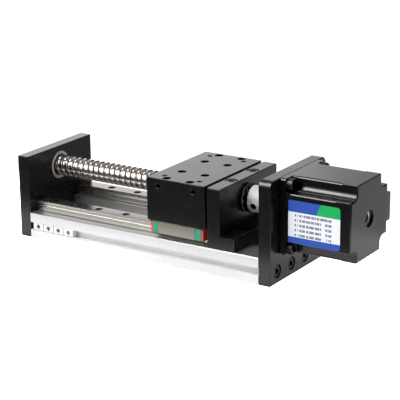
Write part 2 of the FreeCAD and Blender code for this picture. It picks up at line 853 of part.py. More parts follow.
def motor_stator():
    body = notched_block(stator_start, cap_start, motor_size)
    cuts = [rod_x(stator_start - 1, cap_start + 1, stator_bore)]
    for y, z in motor_corners(motor_bolt_spacing):
        cuts.append(rod_x(stator_start - 1, cap_start + 1, m3["thread"] + hidden_gap, y, z))
    for start in winding_starts():
        sweep = winding_angle + 2
        inner = winding_inner_radius - hidden_gap
        outer = winding_outer_radius + hidden_gap
        cuts.append(sector(stator_start - 1, cap_start + 1, inner, outer, start - 1, sweep))
    return cut_all(body, cuts)


def winding_starts():
    return [360.0 / winding_count * step for step in range(winding_count)]


def motor_windings():
    x0 = stator_start - winding_overhang
    x1 = cap_start + winding_overhang
    pieces = [ring_x(x0, stator_start - hidden_gap, winding_outer_radius, winding_inner_radius)]
    pieces.append(ring_x(cap_start + hidden_gap, x1, winding_outer_radius, winding_inner_radius))
    for start in winding_starts():
        bar = sector(x0 + 1, x1 - 1, winding_inner_radius, winding_outer_radius, start, winding_angle)
        pieces.append(bar)
    return fuse_all(pieces)


def motor_rear_cap():
    body = notched_block(cap_start, motor_end, motor_size)
    flat = [e for e in body.Edges if e.BoundBox.XLength < 1e-6]
    rims = [e for e in flat if abs(e.BoundBox.XMin - motor_end) < 1e-6]
    body = body.makeChamfer(motor_cap_edge, rims)
    bell_room = winding_outer_radius + slide_gap
    room = rod_x(cap_start - 1, cap_start + winding_overhang + slide_gap, bell_room)
    seat = rod_x(cap_start - 1, motor_end - motor_cap_wall, small_bearing["outer"] + fit_gap)
    window = rod_x(cap_start, motor_end + 1, motor_cap_hole_radius)
    cuts = [room, seat, window]
    tip = motor_bolt_seat + motor_bolt_length
    for y, z in motor_corners(motor_bolt_spacing):
        cuts.append(rod_x(cap_start - 1, tip + 1, m3["thread"] + thread_gap, y, z))
    return cut_all(body, cuts)


def motor_through_screws():
    screw = cap_screw(m3, motor_bolt_length)
    spots = motor_corners(motor_bolt_spacing)
    return group([placed(screw, Vector(motor_bolt_seat, y, z), -X_AXIS) for y, z in spots])


def motor_mount_screws():
    screw = cap_screw(m5, motor_mount_screw_length)
    spots = motor_corners(motor_hole_spacing)
    return group([placed(screw, Vector(flange_back, y, z), X_AXIS) for y, z in spots])


def motor_shaft():
    start = motor_face - motor_shaft_reach
    shaft = rod_x(start, rear_bearing_end, motor_shaft_radius)
    ends = [e for e in shaft.Edges if e.BoundBox.XLength < 1e-6]
    return shaft.makeChamfer(end_chamfer, ends)


# Stations of the rotor's two toothed cores and the magnet between them
def rotor_stations():
    start = stator_start + rotor_end_gap
    end = cap_start - rotor_end_gap
    middle = (start + end) / 2
    return start, middle - rotor_magnet_length / 2, middle + rotor_magnet_length / 2, end


def motor_rotor_cores():
    start, magnet_start, magnet_end, end = rotor_stations()
    radius = stator_bore - rotor_gap
    bore = motor_shaft_radius + fit_gap
    return group([ring_x(start, magnet_start, radius, bore), ring_x(magnet_end, end, radius, bore)])


def motor_rotor_magnet():
    start, magnet_start, magnet_end, end = rotor_stations()
    return ring_x(magnet_start, magnet_end, stator_bore - 2 * rotor_gap - 1, motor_shaft_radius + fit_gap)


def motor_wave_washer():
    end = rear_bearing_end + wave_washer_thickness
    return ring_x(rear_bearing_end, end, small_bearing["outer"] - hidden_gap, wave_washer_inner_radius)


# The connector stands on the far side of the rear cap, open outwards
def connector_span():
    end = motor_end - connector_end_margin
    return end - connector_length, end


def motor_connector():
    x0, x1 = connector_span()
    y0 = motor_size / 2
    y1 = y0 + connector_depth
    z0 = axis_height - connector_height / 2
    z1 = axis_height + connector_height / 2
    housing = box(x0, x1, y0, y1, z0, z1)
    wall = connector_wall
    room = box(x0 + wall, x1 - wall, y0 + connector_floor, y1 + 1, z0 + wall, z1 - wall)
    return cut_all(housing, [room] + connector_pin_solids(fit_gap))


def connector_pin_solids(margin):
    x0, x1 = connector_span()
    middle = (x0 + x1) / 2
    y0 = motor_size / 2
    half = connector_pin_size / 2 + margin
    pitch = (connector_height - 2 * connector_wall) / connector_pin_count
    pins = []
    for step in range(connector_pin_count):
        z = axis_height + pitch * (step - (connector_pin_count - 1) / 2)
        top = y0 + connector_depth - connector_pin_recess
        pins.append(box(middle - half, middle + half, y0 + hidden_gap, top, z - half, z + half))
    return pins


def motor_label():
    x0 = flange_back + label_start
    x1 = motor_end - label_end_margin
    face_half = motor_size / 2 - motor_notch
    z0 = axis_height - face_half + label_low_margin
    z1 = axis_height + face_half - label_top_margin
    y1 = -motor_size / 2
    return box(x0, x1, y1 - label_thickness, y1, z0, z1)


# Profile rails

# Half width and height of the rail at each corner of its outline
def rail_outline(y_middle, low, high):
    half = rail_width / 2
    edge = rail_edge
    outline = [(-half + edge, low), (half - edge, low), (half, low + edge), (half, high - edge)]
    outline += [(half - edge, high), (-half + edge, high), (-half, high - edge), (-half, low + edge)]
    return [(y_middle + y, z) for y, z in outline]


# The round tracks at both sides of a rail, shared by the rail and its carriage
def ball_tracks(y_middle, x0, x1):
    z = base_height + carriage_ball_height
    radius = carriage_ball_radius + track_clearance
    return [rod_x(x0, x1, radius, y_middle + side * carriage_ball_offset, z) for side in (-1, 1)]


def rail(y):
    x0 = base_start + rail_start
    x1 = x0 + rail_length
    body = prism_x(rail_outline(y, base_height, rail_top), x0, x1)
    cuts = ball_tracks(y, x0 - 1, x1 + 1)
    seat = rail_top - rail_counterbore_depth
    for x in rail_hole_places():
        cuts.append(rod_z(x, y, base_height - 1, rail_top + 1, m3["thread"] + screw_clearance))
        cuts.append(rod_z(x, y, seat, rail_top + 1, rail_counterbore_radius))
    return cut_all(body, cuts)


def rail_screws():
    seat = rail_top - rail_counterbore_depth
    screw = cap_screw(m3, rail_screw_length)
    spots = [Vector(x, y, seat) for y in rail_rows for x in rail_hole_places()]
    return group([placed(screw, spot, Z_AXIS) for spot in spots])


# Carriages

# The cross-section that hugs a rail, with its outside pulled in by an inset
def carriage_section(y, x0, x1, inset, low_inset):
    half = carriage_width / 2 - inset
    low = carriage_low + low_inset
    high = table_bottom - inset
    edge = carriage_edge
    inner = rail_width / 2 + carriage_side_gap
    roof = rail_top + carriage_roof_gap
    outline = [(-half, low + edge), (-half + edge, low), (-inner, low), (-inner, roof), (inner, roof)]
    outline += [(inner, low), (half - edge, low), (half, low + edge), (half, high - edge)]
    outline += [(half - edge, high), (-half + edge, high), (-half, high - edge)]
    return prism_x([(y + across, z) for across, z in outline], x0, x1)


def carriage_ends():
    half = carriage_body_length / 2
    return table_centre - half, table_centre + half


def carriage_block(y):
    x0, x1 = carriage_ends()
    body = carriage_section(y, x0, x1, 0.0, 0.0)
    cuts = ball_tracks(y, x0 - 1, x1 + 1)
    for x, row in carriage_holes(y):
        floor = table_bottom - carriage_thread_depth
        cuts.append(rod_z(x, row, floor, table_bottom + 1, m3["thread"] + thread_gap))
    return cut_all(body, cuts)


# The four threaded holes in the top of a carriage
def carriage_holes(y):
    half = carriage_hole_spacing / 2
    return [(table_centre + sx * half, y + sy * half) for sx in (-1, 1) for sy in (-1, 1)]


def carriage_caps(y):
    x0, x1 = carriage_ends()
    left = carriage_section(y, x0 - carriage_cap_length, x0, cap_inset, 0.0)
    right = carriage_section(y, x1, x1 + carriage_cap_length, cap_inset, 0.0)
    return group([left, right])


def carriage_seals(y):
    x0, x1 = carriage_ends()
    left_end = x0 - carriage_cap_length
    right_end = x1 + carriage_cap_length
    left = carriage_section(y, left_end - carriage_seal_length, left_end, seal_inset, seal_low_inset)
    right = carriage_section(y, right_end, right_end + carriage_seal_length, seal_inset, seal_low_inset)
    return group([left, right])


# The loaded balls of both tracks of one carriage
def carriage_balls(y):
    z = base_height + carriage_ball_height
    pitch = (carriage_body_length - 2 * carriage_ball_radius) / carriage_ball_count
    balls = []
    for side in (-1, 1):
        for step in range(carriage_ball_count):
            x = table_centre + pitch * (step - (carriage_ball_count - 1) / 2)
            centre = Vector(x, y + side * carriage_ball_offset, z)
            balls.append(Part.makeSphere(carriage_ball_radius, centre))
    return group(balls)


# Slide table

def slide_table():
    table = box(table_start, table_end, -width / 2, width / 2, table_bottom, table_top)
    table = bevel_outer(table, table_edge)
    cuts = table_screw_cuts() + table_mount_cuts() + nut_seat_cuts()
    return cut_all(table, cuts)


def table_screw_cuts():
    cuts = []
    seat = table_top - table_counterbore_depth
    for rail_y in rail_rows:
        for x, y in carriage_holes(rail_y):
            cuts.append(rod_z(x, y, table_bottom - 1, table_top + 1, m3["thread"] + thread_gap))
            cuts.append(rod_z(x, y, seat, table_top + 1, table_counterbore_radius))
    return cuts


def table_mount_cuts():
    cuts = []
    for sx in (-1, 1):
        for sy in (-1, 1):
            x = table_centre + sx * top_hole_spacing_x / 2
            y = sy * top_hole_spacing_y / 2
            cuts.append(rod_z(x, y, table_top - top_hole_depth, table_top + 1, tap_radius_m4))
            cuts.append(rim_z(x, y, table_top, tap_radius_m4))
            x = table_centre + sx * side_hole_spacing / 2
            z = table_top - side_hole_drop
            inner = sy * (width / 2 - side_hole_depth)
            outer = sy * (width / 2 + 1)
            cuts.append(rod_y(x, z, min(inner, outer), max(inner, outer), tap_radius_m4))
            cone = Part.makeCone(tap_radius_m4, tap_radius_m4 + hole_rim, hole_rim,
                                 Vector(x, sy * (width / 2 - hole_rim), z), Vector(0, sy, 0))
            cuts.append(cone)
    return cuts


# The pocket for the nut's flange, the nut's bore and the passage for the screw
def nut_seat_cuts():
    half_y = nut_flange_width / 2 + hidden_gap
    half_z = nut_flange_height / 2 + hidden_gap
    pocket = box(table_start - 1, table_start + nut_flange_thickness, -half_y, half_y,
                 axis_height - half_z, axis_height + half_z)
    cuts = [pocket, rod_x(table_start, table_start + nut_length + hidden_gap, nut_radius + thread_gap)]
    cuts.append(rod_x(table_start, table_end + 1, screw_radius + table_passage_clearance))
    deep = table_start + nut_counterbore_depth + nut_screw_length + nut_thread_spare
    for y, z in nut_screw_places():
        cuts.append(rod_x(table_start, deep, m4["thread"] + thread_gap, y, z))
    return cuts


def nut_screw_places():
    half_y = nut_screw_spacing_y / 2
    half_z = nut_screw_spacing_z / 2
    return [(sy * half_y, axis_height + sz * half_z) for sy in (-1, 1) for sz in (-1, 1)]


def carriage_screws():
    seat = table_top - table_counterbore_depth
    length = table_height - table_counterbore_depth + carriage_thread_depth - carriage_thread_spare
    screw = cap_screw(m3, length)
    spots = []
    for rail_y in rail_rows:
        spots += [Vector(x, y, seat) for x, y in carriage_holes(rail_y)]
    return group([placed(screw, spot, Z_AXIS) for spot in spots])


# Ball nut

def ball_nut():
    half_y = nut_flange_width / 2
    half_z = nut_flange_height / 2
    flange = box(table_start, table_start + nut_flange_thickness, -half_y, half_y,
                 axis_height - half_z, axis_height + half_z)
    posts = [e for e in flange.Edges if e.BoundBox.XLength > nut_flange_thickness / 2]
    flange = flange.makeFillet(nut_flange_corner, posts)
    end = table_start + nut_length
    body = flange.fuse(rod_x(table_start, end, nut_radius))
    cuts = [rod_x(table_start - 1, end + 1, screw_radius + nut_bore_clearance)]
    cuts.append(rod_x(table_start - 1, table_start + wiper_length, wiper_outer_radius + fit_gap))
    cuts.append(rod_x(end - wiper_length, end + 1, wiper_outer_radius + fit_gap))
    cuts += return_passage()
    for y, z in nut_screw_places():
        cuts.append(rod_x(table_start - 1, end, m4["thread"] + screw_clearance, y, z))
        head = m4["head"] + screw_clearance
        cuts.append(rod_x(table_start - 1, table_start + nut_counterbore_depth, head, y, z))
    return cut_all(body, cuts)


# The duct that takes the balls back, with a port to the thread at each end
def return_span():
    middle = table_start + nut_length / 2
    return middle - return_length / 2, middle + return_length / 2


def return_passage():
    x0, x1 = return_span()
    z = axis_height + return_hole_offset
    duct = rod_x(x0, x1, return_hole_radius, 0, z)
    ports = []
    for x in (x0 + return_hole_radius, x1 - return_hole_radius):
        ports.append(rod_z(x, 0, axis_height + screw_radius / 2, z, return_hole_radius))
    return [duct] + ports


def ball_nut_balls():
    x0, x1 = return_span()
    start = x0 + 2 * return_hole_radius + nut_ball_radius
    room = x1 - x0 - 4 * return_hole_radius - 2 * nut_ball_radius
    count = int(room / nut_ball_pitch) + 1
    z = axis_height + return_hole_offset
    return group([Part.makeSphere(nut_ball_radius, Vector(start + nut_ball_pitch * step, 0, z))
                  for step in range(count)])


def ball_nut_wipers():
    end = table_start + nut_length
    inner = screw_radius + slide_gap
    left = ring_x(table_start, table_start + wiper_length, wiper_outer_radius, inner)
    right = ring_x(end - wiper_length, end, wiper_outer_radius, inner)
    return group([left, right])


def ball_nut_screws():
    screw = cap_screw(m4, nut_screw_length)
    seat = table_start + nut_counterbore_depth
    return group([placed(screw, Vector(seat, y, z), -X_AXIS) for y, z in nut_screw_places()])


# Slot nuts

# One nut: a wide foot behind the slot's lips and a neck between them
def slot_nut(x):
    half = slot_nut_length / 2
    y_foot = -width / 2 + slot_lip + slot_nut_lip_gap
    y_back = y_foot + slot_nut_base_height
    foot_half = slot_nut_base_width / 2
    neck_half = slot_opening / 2 - slide_gap
    foot = box(x - half, x + half, y_foot, y_back, side_slot_height - foot_half, side_slot_height + foot_half)
    neck = box(x - half, x + half, -width / 2 + slot_nut_recess, y_back, side_slot_height - neck_half,
               side_slot_height + neck_half)
    hole = rod_y(x, side_slot_height, -width / 2 - 1, y_back + 1, slot_nut_hole_radius)
    return fuse_all([foot, neck]).cut(hole)


def slot_nuts():
    first = base_start + slot_nut_first
    return group([slot_nut(first + slot_nut_pitch * step) for step in range(slot_nut_count)])


# Fixed parts
export("base_profile", base_profile())
export("idle_end_plate", idle_end_plate())
export("motor_plate", motor_plate())
export("bearing_block", bearing_block())
export("rail_front", rail(rail_rows[0]))
export("rail_back", rail(rail_rows[1]))
export("rail_screws", rail_screws())
export("idle_plate_screws", plate_screws(idle_outer + plate_counterbore_depth, -X_AXIS))
export("motor_plate_screws", plate_screws(motor_face - plate_counterbore_depth, X_AXIS))
wall_seat_height = block_height - block_counterbore_depth
foot_seat_height = base_height + block_foot_height - block_foot_counterbore_depth
export("bearing_block_wall_screws",
       bearing_block_screws(block_face + block_wall / 2, wall_seat_height, block_wall_screw_length))
export("bearing_block_foot_screws",
       bearing_block_screws(block_wall_end + block_foot / 2, foot_seat_height, block_foot_screw_length))

# Idle end bearing
idle_bearing_start = base_start - small_bearing["width"]
export("idle_bearing_outer_ring", bearing_outer_ring(small_bearing, idle_bearing_start))
export("idle_bearing_inner_ring", bearing_inner_ring(small_bearing, idle_bearing_start))
export("idle_bearing_balls", group(bearing_balls(small_bearing, idle_bearing_start)))
export("idle_bearing_shields", group(bearing_shields(small_bearing, idle_bearing_start)))
export("screw_end_clip", screw_end_clip())

# Fixed end bearings
fixed_starts = [fixed_bearings_start + thin_bearing["width"] * step for step in range(fixed_bearing_count)]
export("fixed_bearing_outer_rings", group([bearing_outer_ring(thin_bearing, x) for x in fixed_starts]))
export("fixed_bearing_inner_rings", group([bearing_inner_ring(thin_bearing, x) for x in fixed_starts]))
export("fixed_bearing_balls", group([ball for x in fixed_starts for ball in bearing_balls(thin_bearing, x)]))
export("clamp_spacer", clamp_spacer())
export("lock_nut", lock_nut())

# Screw and coupling
export("ball_screw", ball_screw())
near_jaw_end = far_hub_start - jaw_end_gap
far_jaw_start = hub_end + jaw_end_gap
export("coupling_hub_screw_side",
       coupling_hub(coupling_start, hub_end, hub_end - 1, near_jaw_end, 0.0, drive_stub_radius))
export("coupling_hub_motor_side",
       coupling_hub(far_hub_start, coupling_end, far_jaw_start, far_hub_start + 1, 60.0, motor_shaft_radius))
export("coupling_spider", coupling_spider())
export("coupling_set_screws", coupling_set_screws())

# Motor
export("motor_front_flange", motor_front_flange())
export("motor_stator", motor_stator())
export("motor_windings", motor_windings())
export("motor_rear_cap", motor_rear_cap())
export("motor_rotor_cores", motor_rotor_cores())
export("motor_rotor_magnet", motor_rotor_magnet())
export("motor_shaft", motor_shaft())
motor_bearing_starts = (front_bearing_start, rear_bearing_start)
motor_outer_rings = [bearing_outer_ring(small_bearing, x) for x in motor_bearing_starts]
motor_inner_rings = [bearing_inner_ring(small_bearing, x) for x in motor_bearing_starts]
motor_balls = [ball for x in motor_bearing_starts for ball in bearing_balls(small_bearing, x)]
export("motor_bearing_outer_rings", group(motor_outer_rings))
export("motor_bearing_inner_rings", group(motor_inner_rings))
export("motor_bearing_balls", group(motor_balls))
export("motor_wave_washer", motor_wave_washer())
export("motor_through_screws", motor_through_screws())
export("motor_mount_screws", motor_mount_screws())
export("motor_connector", motor_connector())
export("motor_connector_pins", group(connector_pin_solids(0.0)))
export("motor_label", motor_label())

# Table and what rides with it
export("slide_table", slide_table())
export("carriage_block_front", carriage_block(rail_rows[0]))
export("carriage_block_back", carriage_block(rail_rows[1]))
export("carriage_caps_front", carriage_caps(rail_rows[0]))
export("carriage_caps_back", carriage_caps(rail_rows[1]))
export("carriage_seals_front", carriage_seals(rail_rows[0]))
export("carriage_seals_back", carriage_seals(rail_rows[1]))
export("carriage_balls_front", carriage_balls(rail_rows[0]))
export("carriage_balls_back", carriage_balls(rail_rows[1]))
export("carriage_screws", carriage_screws())
export("ball_nut", ball_nut())
export("ball_nut_screws", ball_nut_screws())
export("ball_nut_balls", ball_nut_balls())
export("ball_nut_wipers", ball_nut_wipers())
export("slot_nuts", slot_nuts())
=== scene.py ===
# %% [markdown]
# # A ball screw linear module
#
# This lesson dresses a linear module: a slide table on two steel rails, pushed along by a ball
# screw that a square motor turns. The construction comes in finished, as the frame. Here every
# piece gets its finish. The ball screw with its helical track, the socket screws, the rings and
# shields of the bearings and the label are made again in fine detail, and the other large outer
# pieces get rounded edges.
#
# The first cell loads the frame. Everything is in metres and already in its place.

# %% Load the frame
import json
import math

import bpy
import numpy as np
from mathutils import Matrix, Vector

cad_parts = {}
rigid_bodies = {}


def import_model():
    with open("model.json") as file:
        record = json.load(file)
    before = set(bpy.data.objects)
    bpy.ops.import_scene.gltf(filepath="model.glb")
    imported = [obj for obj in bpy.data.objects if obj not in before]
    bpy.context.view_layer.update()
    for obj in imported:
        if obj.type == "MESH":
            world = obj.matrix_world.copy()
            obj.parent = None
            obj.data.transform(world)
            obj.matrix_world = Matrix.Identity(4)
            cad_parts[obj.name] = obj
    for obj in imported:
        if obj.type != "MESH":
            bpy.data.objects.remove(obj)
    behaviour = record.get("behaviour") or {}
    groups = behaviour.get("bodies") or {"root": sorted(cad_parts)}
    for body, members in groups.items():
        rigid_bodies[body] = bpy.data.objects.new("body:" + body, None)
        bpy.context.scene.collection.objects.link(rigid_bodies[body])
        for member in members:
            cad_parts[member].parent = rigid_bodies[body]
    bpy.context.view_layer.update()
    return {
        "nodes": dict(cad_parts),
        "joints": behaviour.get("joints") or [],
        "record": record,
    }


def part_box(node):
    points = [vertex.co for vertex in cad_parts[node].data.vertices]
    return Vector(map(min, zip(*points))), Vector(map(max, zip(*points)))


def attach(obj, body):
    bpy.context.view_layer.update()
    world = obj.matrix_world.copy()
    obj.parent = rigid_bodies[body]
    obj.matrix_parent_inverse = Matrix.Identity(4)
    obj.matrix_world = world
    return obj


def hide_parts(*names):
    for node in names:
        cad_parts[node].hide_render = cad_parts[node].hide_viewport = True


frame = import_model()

mm = 0.001

# %% [markdown]
# The places that the pieces share are read from the frame, so that nothing is fitted by eye: the
# screw's axis is where its joint turns, and each node's box says where it starts and ends.

# %% Shared places
joints = {joint["name"]: joint for joint in frame["joints"]}
screw_axis = np.array(joints["screw_spin"]["pos_m"], float)


def span(node, direction):
    """The lowest and highest coordinate of a node along x, y or z (0, 1 or 2)."""
    low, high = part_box(node)
    return low[direction], high[direction]


def linked(name, data):
    """A new object in the scene that shows some data."""
    thing = bpy.data.objects.new(name, data)
    bpy.context.scene.collection.objects.link(thing)
    return thing


print("screw axis at", screw_axis)

# %% [markdown]
# ## Camera
#
# A long lens looks from the front right and a little above, as in the picture. The turn is
# measured from looking straight along +Y, the rise above the horizon, and the roll is the slight
# tilt of the picture.

# %% Camera
camera_place = Vector((584.855, -899.267, 374.032)) * mm
camera_turn = 0.576547
camera_rise = 0.301630
camera_roll = 0.0123952
camera_lens = 135.89

sight_back = Vector((math.sin(camera_turn) * math.cos(camera_rise),
                     -math.cos(camera_turn) * math.cos(camera_rise), math.sin(camera_rise)))
sight_right = Vector((math.cos(camera_turn), math.sin(camera_turn), 0))
sight_up = sight_back.cross(sight_right)
roll_cos = math.cos(camera_roll)
roll_sin = math.sin(camera_roll)
camera_right = roll_cos * sight_right - roll_sin * sight_up
camera_up = roll_sin * sight_right + roll_cos * sight_up

camera_data = bpy.data.cameras.new("camera")
camera_data.lens = camera_lens
camera = linked("camera", camera_data)
turn_matrix = Matrix((camera_right, camera_up, sight_back)).transposed().to_4x4()
camera.matrix_world = Matrix.Translation(camera_place) @ turn_matrix
bpy.context.scene.camera = camera
print("camera", round(camera_place.length, 3), "m from the middle of the part")

# %% [markdown]
# ## Shader maths
#
# A finish is a small network of nodes. Two classes make it readable. A Signal is the output of a
# node, and sums and products of signals are written as in Python. A Finish is the material itself:
# its one method `node` adds any node, with settings first and then the values or signals that go
# into its sockets.

# %% Signals
def operator(operation, reflected=False):
    """A method of Signal that adds a Math node, with the operands swapped if it is reflected."""

    def method(signal, other):
        first, second = (other, signal) if reflected else (signal, other)
        return signal.finish.node("ShaderNodeMath", {"operation": operation}, {0: first, 1: second})

    return method


class Signal:
    """An output of a shader node. Arithmetic on it adds Math nodes to the same network."""

    def __init__(self, finish, socket):
        self.finish = finish
        self.socket = socket

    __add__, __radd__ = operator("ADD"), operator("ADD", True)
    __sub__, __rsub__ = operator("SUBTRACT"), operator("SUBTRACT", True)
    __mul__, __rmul__ = operator("MULTIPLY"), operator("MULTIPLY", True)
    __truediv__, __pow__ = operator("DIVIDE"), operator("POWER")
    __gt__, __lt__ = operator("GREATER_THAN"), operator("LESS_THAN")


# %% [markdown]
# A socket is named by its label, by its number, or by its identifier where a node has several
# sockets of one label, as the Mix node has.

# %% Finishes
def socket_of(sockets, key):
    """The socket with that number, identifier or label."""
    if isinstance(key, int):
        return sockets[key]
    by_identifier = {socket.identifier: socket for socket in sockets}
    return by_identifier[key] if key in by_identifier else sockets[key]


class Finish:
    """A network of shader nodes under construction."""

    def __init__(self, tree):
        self.tree = tree
        self.tree.nodes.clear()

    def node(self, kind, settings=None, inputs=None, output=0):
        """Adds a node: first its settings, then what goes into its sockets. Returns one output."""
        made = self.tree.nodes.new(kind)
        for name, value in (settings or {}).items():
            setattr(made, name, value)
        for key, value in (inputs or {}).items():
            socket = socket_of(made.inputs, key)
            if isinstance(value, Signal):
                self.tree.links.new(value.socket, socket)
            else:
                socket.default_value = value
        return Signal(self, socket_of(made.outputs, output)) if made.outputs else None


# %% [markdown]
# Colours are chosen as they look on a screen, from 0 to 255, and turned into the linear values
# that a shader works with.

# %% Colours
def colour(red, green, blue):
    """A screen colour as linear red, green, blue and full alpha."""
    screen = np.array([red, green, blue]) / 255
    linear = np.where(screen <= 0.04045, screen / 12.92, ((screen + 0.055) / 1.055) ** 2.4)
    return tuple(float(value) for value in linear) + (1.0,)


# %% [markdown]
# The patterns all read Object coordinates. Each piece's object sits at the origin, so these are
# simply metres in the part's own frame, and a pattern keeps its real scale on every piece.

# %% Patterns
def place(finish):
    """The point of the surface, in metres in the part's frame."""
    return finish.node("ShaderNodeTexCoord", output="Object")


def axes(finish, vector):
    """The x, y and z of a vector, as three signals."""
    made = finish.node("ShaderNodeSeparateXYZ", {}, {0: vector}).socket.node
    return [Signal(finish, socket) for socket in made.outputs]


def speckle(finish, size, stretch=(1, 1, 1), detail=2.0, roughness=0.5):
    """Noise from 0 to 1 with spots about size across, drawn out along each axis by stretch."""
    scale = tuple(1 / (size * factor) for factor in stretch)
    scaled = finish.node("ShaderNodeVectorMath", {"operation": "MULTIPLY"},
                         {0: place(finish), 1: scale})
    return finish.node("ShaderNodeTexNoise", {"normalize": True},
                       {"Vector": scaled, "Scale": 1.0, "Detail": detail, "Roughness": roughness})


def ease(finish, value, low, high, start=0.0, end=1.0):
    """Goes smoothly from start to end while value goes from low to high."""
    return finish.node("ShaderNodeMapRange", {"interpolation_type": "SMOOTHSTEP"},
                       {"Value": value, "From Min": low, "From Max": high,
                        "To Min": start, "To Max": end})


def blend(finish, factor, first, second):
    """A colour between two others."""
    return finish.node("ShaderNodeMix", {"data_type": "RGBA"},
                       {"Factor_Float": factor, "A_Color": first, "B_Color": second},
                       "Result_Color")


def relief(finish, height, depth, strength):
    """A surface direction that shows a height pattern as bumps of that depth in metres."""
    return finish.node("ShaderNodeBump", {},
                       {"Height": height, "Distance": depth, "Strength": strength})


# %% [markdown]
# `make_finish` closes a network: it adds the one Principled shader, and what the finish says about
# base colour, roughness and the rest goes straight into its sockets.

# %% A material from a finish
def make_finish(name, describe):
    """A new material. describe(finish) returns what goes into the shader's sockets, by label."""
    material = bpy.data.materials.new(name)
    material.use_nodes = True
    finish = Finish(material.node_tree)
    shader = finish.node("ShaderNodeBsdfPrincipled", {}, describe(finish))
    finish.node("ShaderNodeOutputMaterial", {}, {"Surface": shader})
    return material


# %% [markdown]
# ## The finishes
#
# Black anodised aluminium is machined, blasted and dyed. It is a dark layer with a soft gloss, not
# a mirror: the blasting leaves a fine grain, and handling leaves faint cloudy differences in gloss.

# %% Black anodised aluminium
def anodised_black(finish):
    cloud = speckle(finish, 9 * mm, detail=3.0)
    grain = speckle(finish, 0.22 * mm, detail=3.0)
    return {
        "Base Color": blend(finish, cloud, colour(9, 9, 10), colour(14, 13, 14)),
        "Roughness": 0.23 + 0.07 * cloud,
        "Normal": relief(finish, grain, 0.012 * mm, 0.2),
    }


# %% [markdown]
# The base is a drawn aluminium extrusion with a clear anodised skin. Drawing leaves fine lines
# along its length, so the noise is stretched along X. Its top is milled flat for the rails, with a
# channel between them. The top and the channel are painted darker than the sides, as painted shade
# under the table and the plates. Inside its slots the colour is painted pale, as painted light over
# the shade in them, and the skin there is made matt and less metallic.

# %% Clear anodised extrusion
base_low, base_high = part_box("base_profile")
channel_low, channel_high = span("rail_front", 1)[1], span("rail_back", 1)[0]
skin_depth = 0.3 * mm
top_zone_depth = 4 * mm
channel_depth = 3 * mm


def anodised_silver(finish):
    x, y, z = axes(finish, place(finish))
    inside = (y > base_low.y + skin_depth) * (y < base_high.y - skin_depth)
    in_channel = (y > channel_low) * (y < channel_high)
    on_top = inside * (z > base_high.z - top_zone_depth - channel_depth * in_channel)
    painted_light_in_slot = inside * (1 - on_top)
    lines = speckle(finish, 0.25 * mm, stretch=(160, 1, 1), detail=3.0)
    cloud = speckle(finish, 12 * mm, stretch=(3, 1, 1))
    side = blend(finish, lines, colour(202, 203, 204), colour(214, 214, 214))
    # The darker colour of the top and the channel is painted shade under the table and plates.
    painted_shade_top = blend(finish, lines, colour(164, 164, 164), colour(180, 180, 179))
    skin = blend(finish, on_top, side, painted_shade_top)
    return {
        # Inside the slots the near-white colour is painted light over the shade there.
        "Base Color": blend(finish, painted_light_in_slot, skin, colour(240, 240, 240)),
        "Metallic": 0.72 + 0.18 * on_top - 0.6 * painted_light_in_slot,
        "Roughness": 0.27 + 0.08 * cloud + 0.06 * lines + 0.2 * painted_light_in_slot,
        "Normal": relief(finish, lines, 0.015 * mm, 0.4),
    }


# %% [markdown]
# Rails and carriages are hardened steel, ground along their length. Ground steel is a mirror with
# countless fine scratches, a little warm in colour. A rail's sides carry the ball tracks, are
# lapped finer than its top and look lighter.

# %% Ground steel
flank_top = span("rail_front", 2)[1] - 0.25 * mm


def ground_steel(low, high, roughness, side):
    """A finish for steel ground along X, between two colours, with flanks of the colour side."""

    def describe(finish):
        x, y, z = axes(finish, place(finish))
        lines = speckle(finish, 0.12 * mm, stretch=(120, 1, 1), detail=4.0, roughness=0.6)
        cloud = speckle(finish, 7 * mm, stretch=(2, 1, 1))
        ground = blend(finish, lines * 0.7 + cloud * 0.3, low, high)
        return {
            "Base Color": blend(finish, (z < flank_top) * 0.9, ground, side),
            "Metallic": 1.0,
            "Roughness": roughness + 0.12 * lines,
            "Normal": relief(finish, lines, 0.01 * mm, 0.35),
        }

    return describe


rail_steel = ground_steel(colour(122, 118, 114), colour(148, 144, 139), 0.20, colour(212, 208, 202))
# The carriages' paler colour is painted light against the shade under the table.
carriage_steel = ground_steel(colour(166, 161, 149), colour(186, 181, 168), 0.30,
                              colour(176, 171, 159))


# %% [markdown]
# The screw shaft is ground bright on its crests, and the ball track is polished by the balls. The
# track is painted darker and browner than the crests, as painted shade in the grooves. How far a
# point is from the axis tells the one from the other.

# %% Screw shaft steel
def screw_shaft_steel(finish):
    x, y, z = axes(finish, place(finish))
    z = z - float(screw_axis[2])
    radius = (y * y + z * z) ** 0.5
    crest = ease(finish, radius, 7.2 * mm, 7.95 * mm)
    turned = speckle(finish, 0.06 * mm, stretch=(1, 60, 60), detail=3.0)
    return {
        # The track's darker, browner colour is painted shade in the grooves.
        "Base Color": blend(finish, crest, colour(192, 181, 174), colour(226, 222, 217)),
        "Metallic": 1.0,
        "Roughness": 0.21 - 0.06 * crest + 0.08 * turned,
        "Normal": relief(finish, turned, 0.004 * mm, 0.3),
    }


# %% [markdown]
# Turned or ground round pieces share one recipe: a metal with fine rings about the screw's axis,
# which are noise with little change across Y and Z and much along X.

# %% Round metal pieces
def ringed_metal(low, high, roughness, scratch=0.08, metallic=1.0):
    """A finish for turned metal between two colours."""

    def describe(finish):
        rings = speckle(finish, 0.10 * mm, stretch=(1, 40, 40), detail=3.0)
        cloud = speckle(finish, 4 * mm)
        return {
            "Base Color": blend(finish, cloud, low, high),
            "Metallic": metallic,
            "Roughness": roughness + scratch * rings,
            "Normal": relief(finish, rings, 0.006 * mm, 0.3),
        }

    return describe


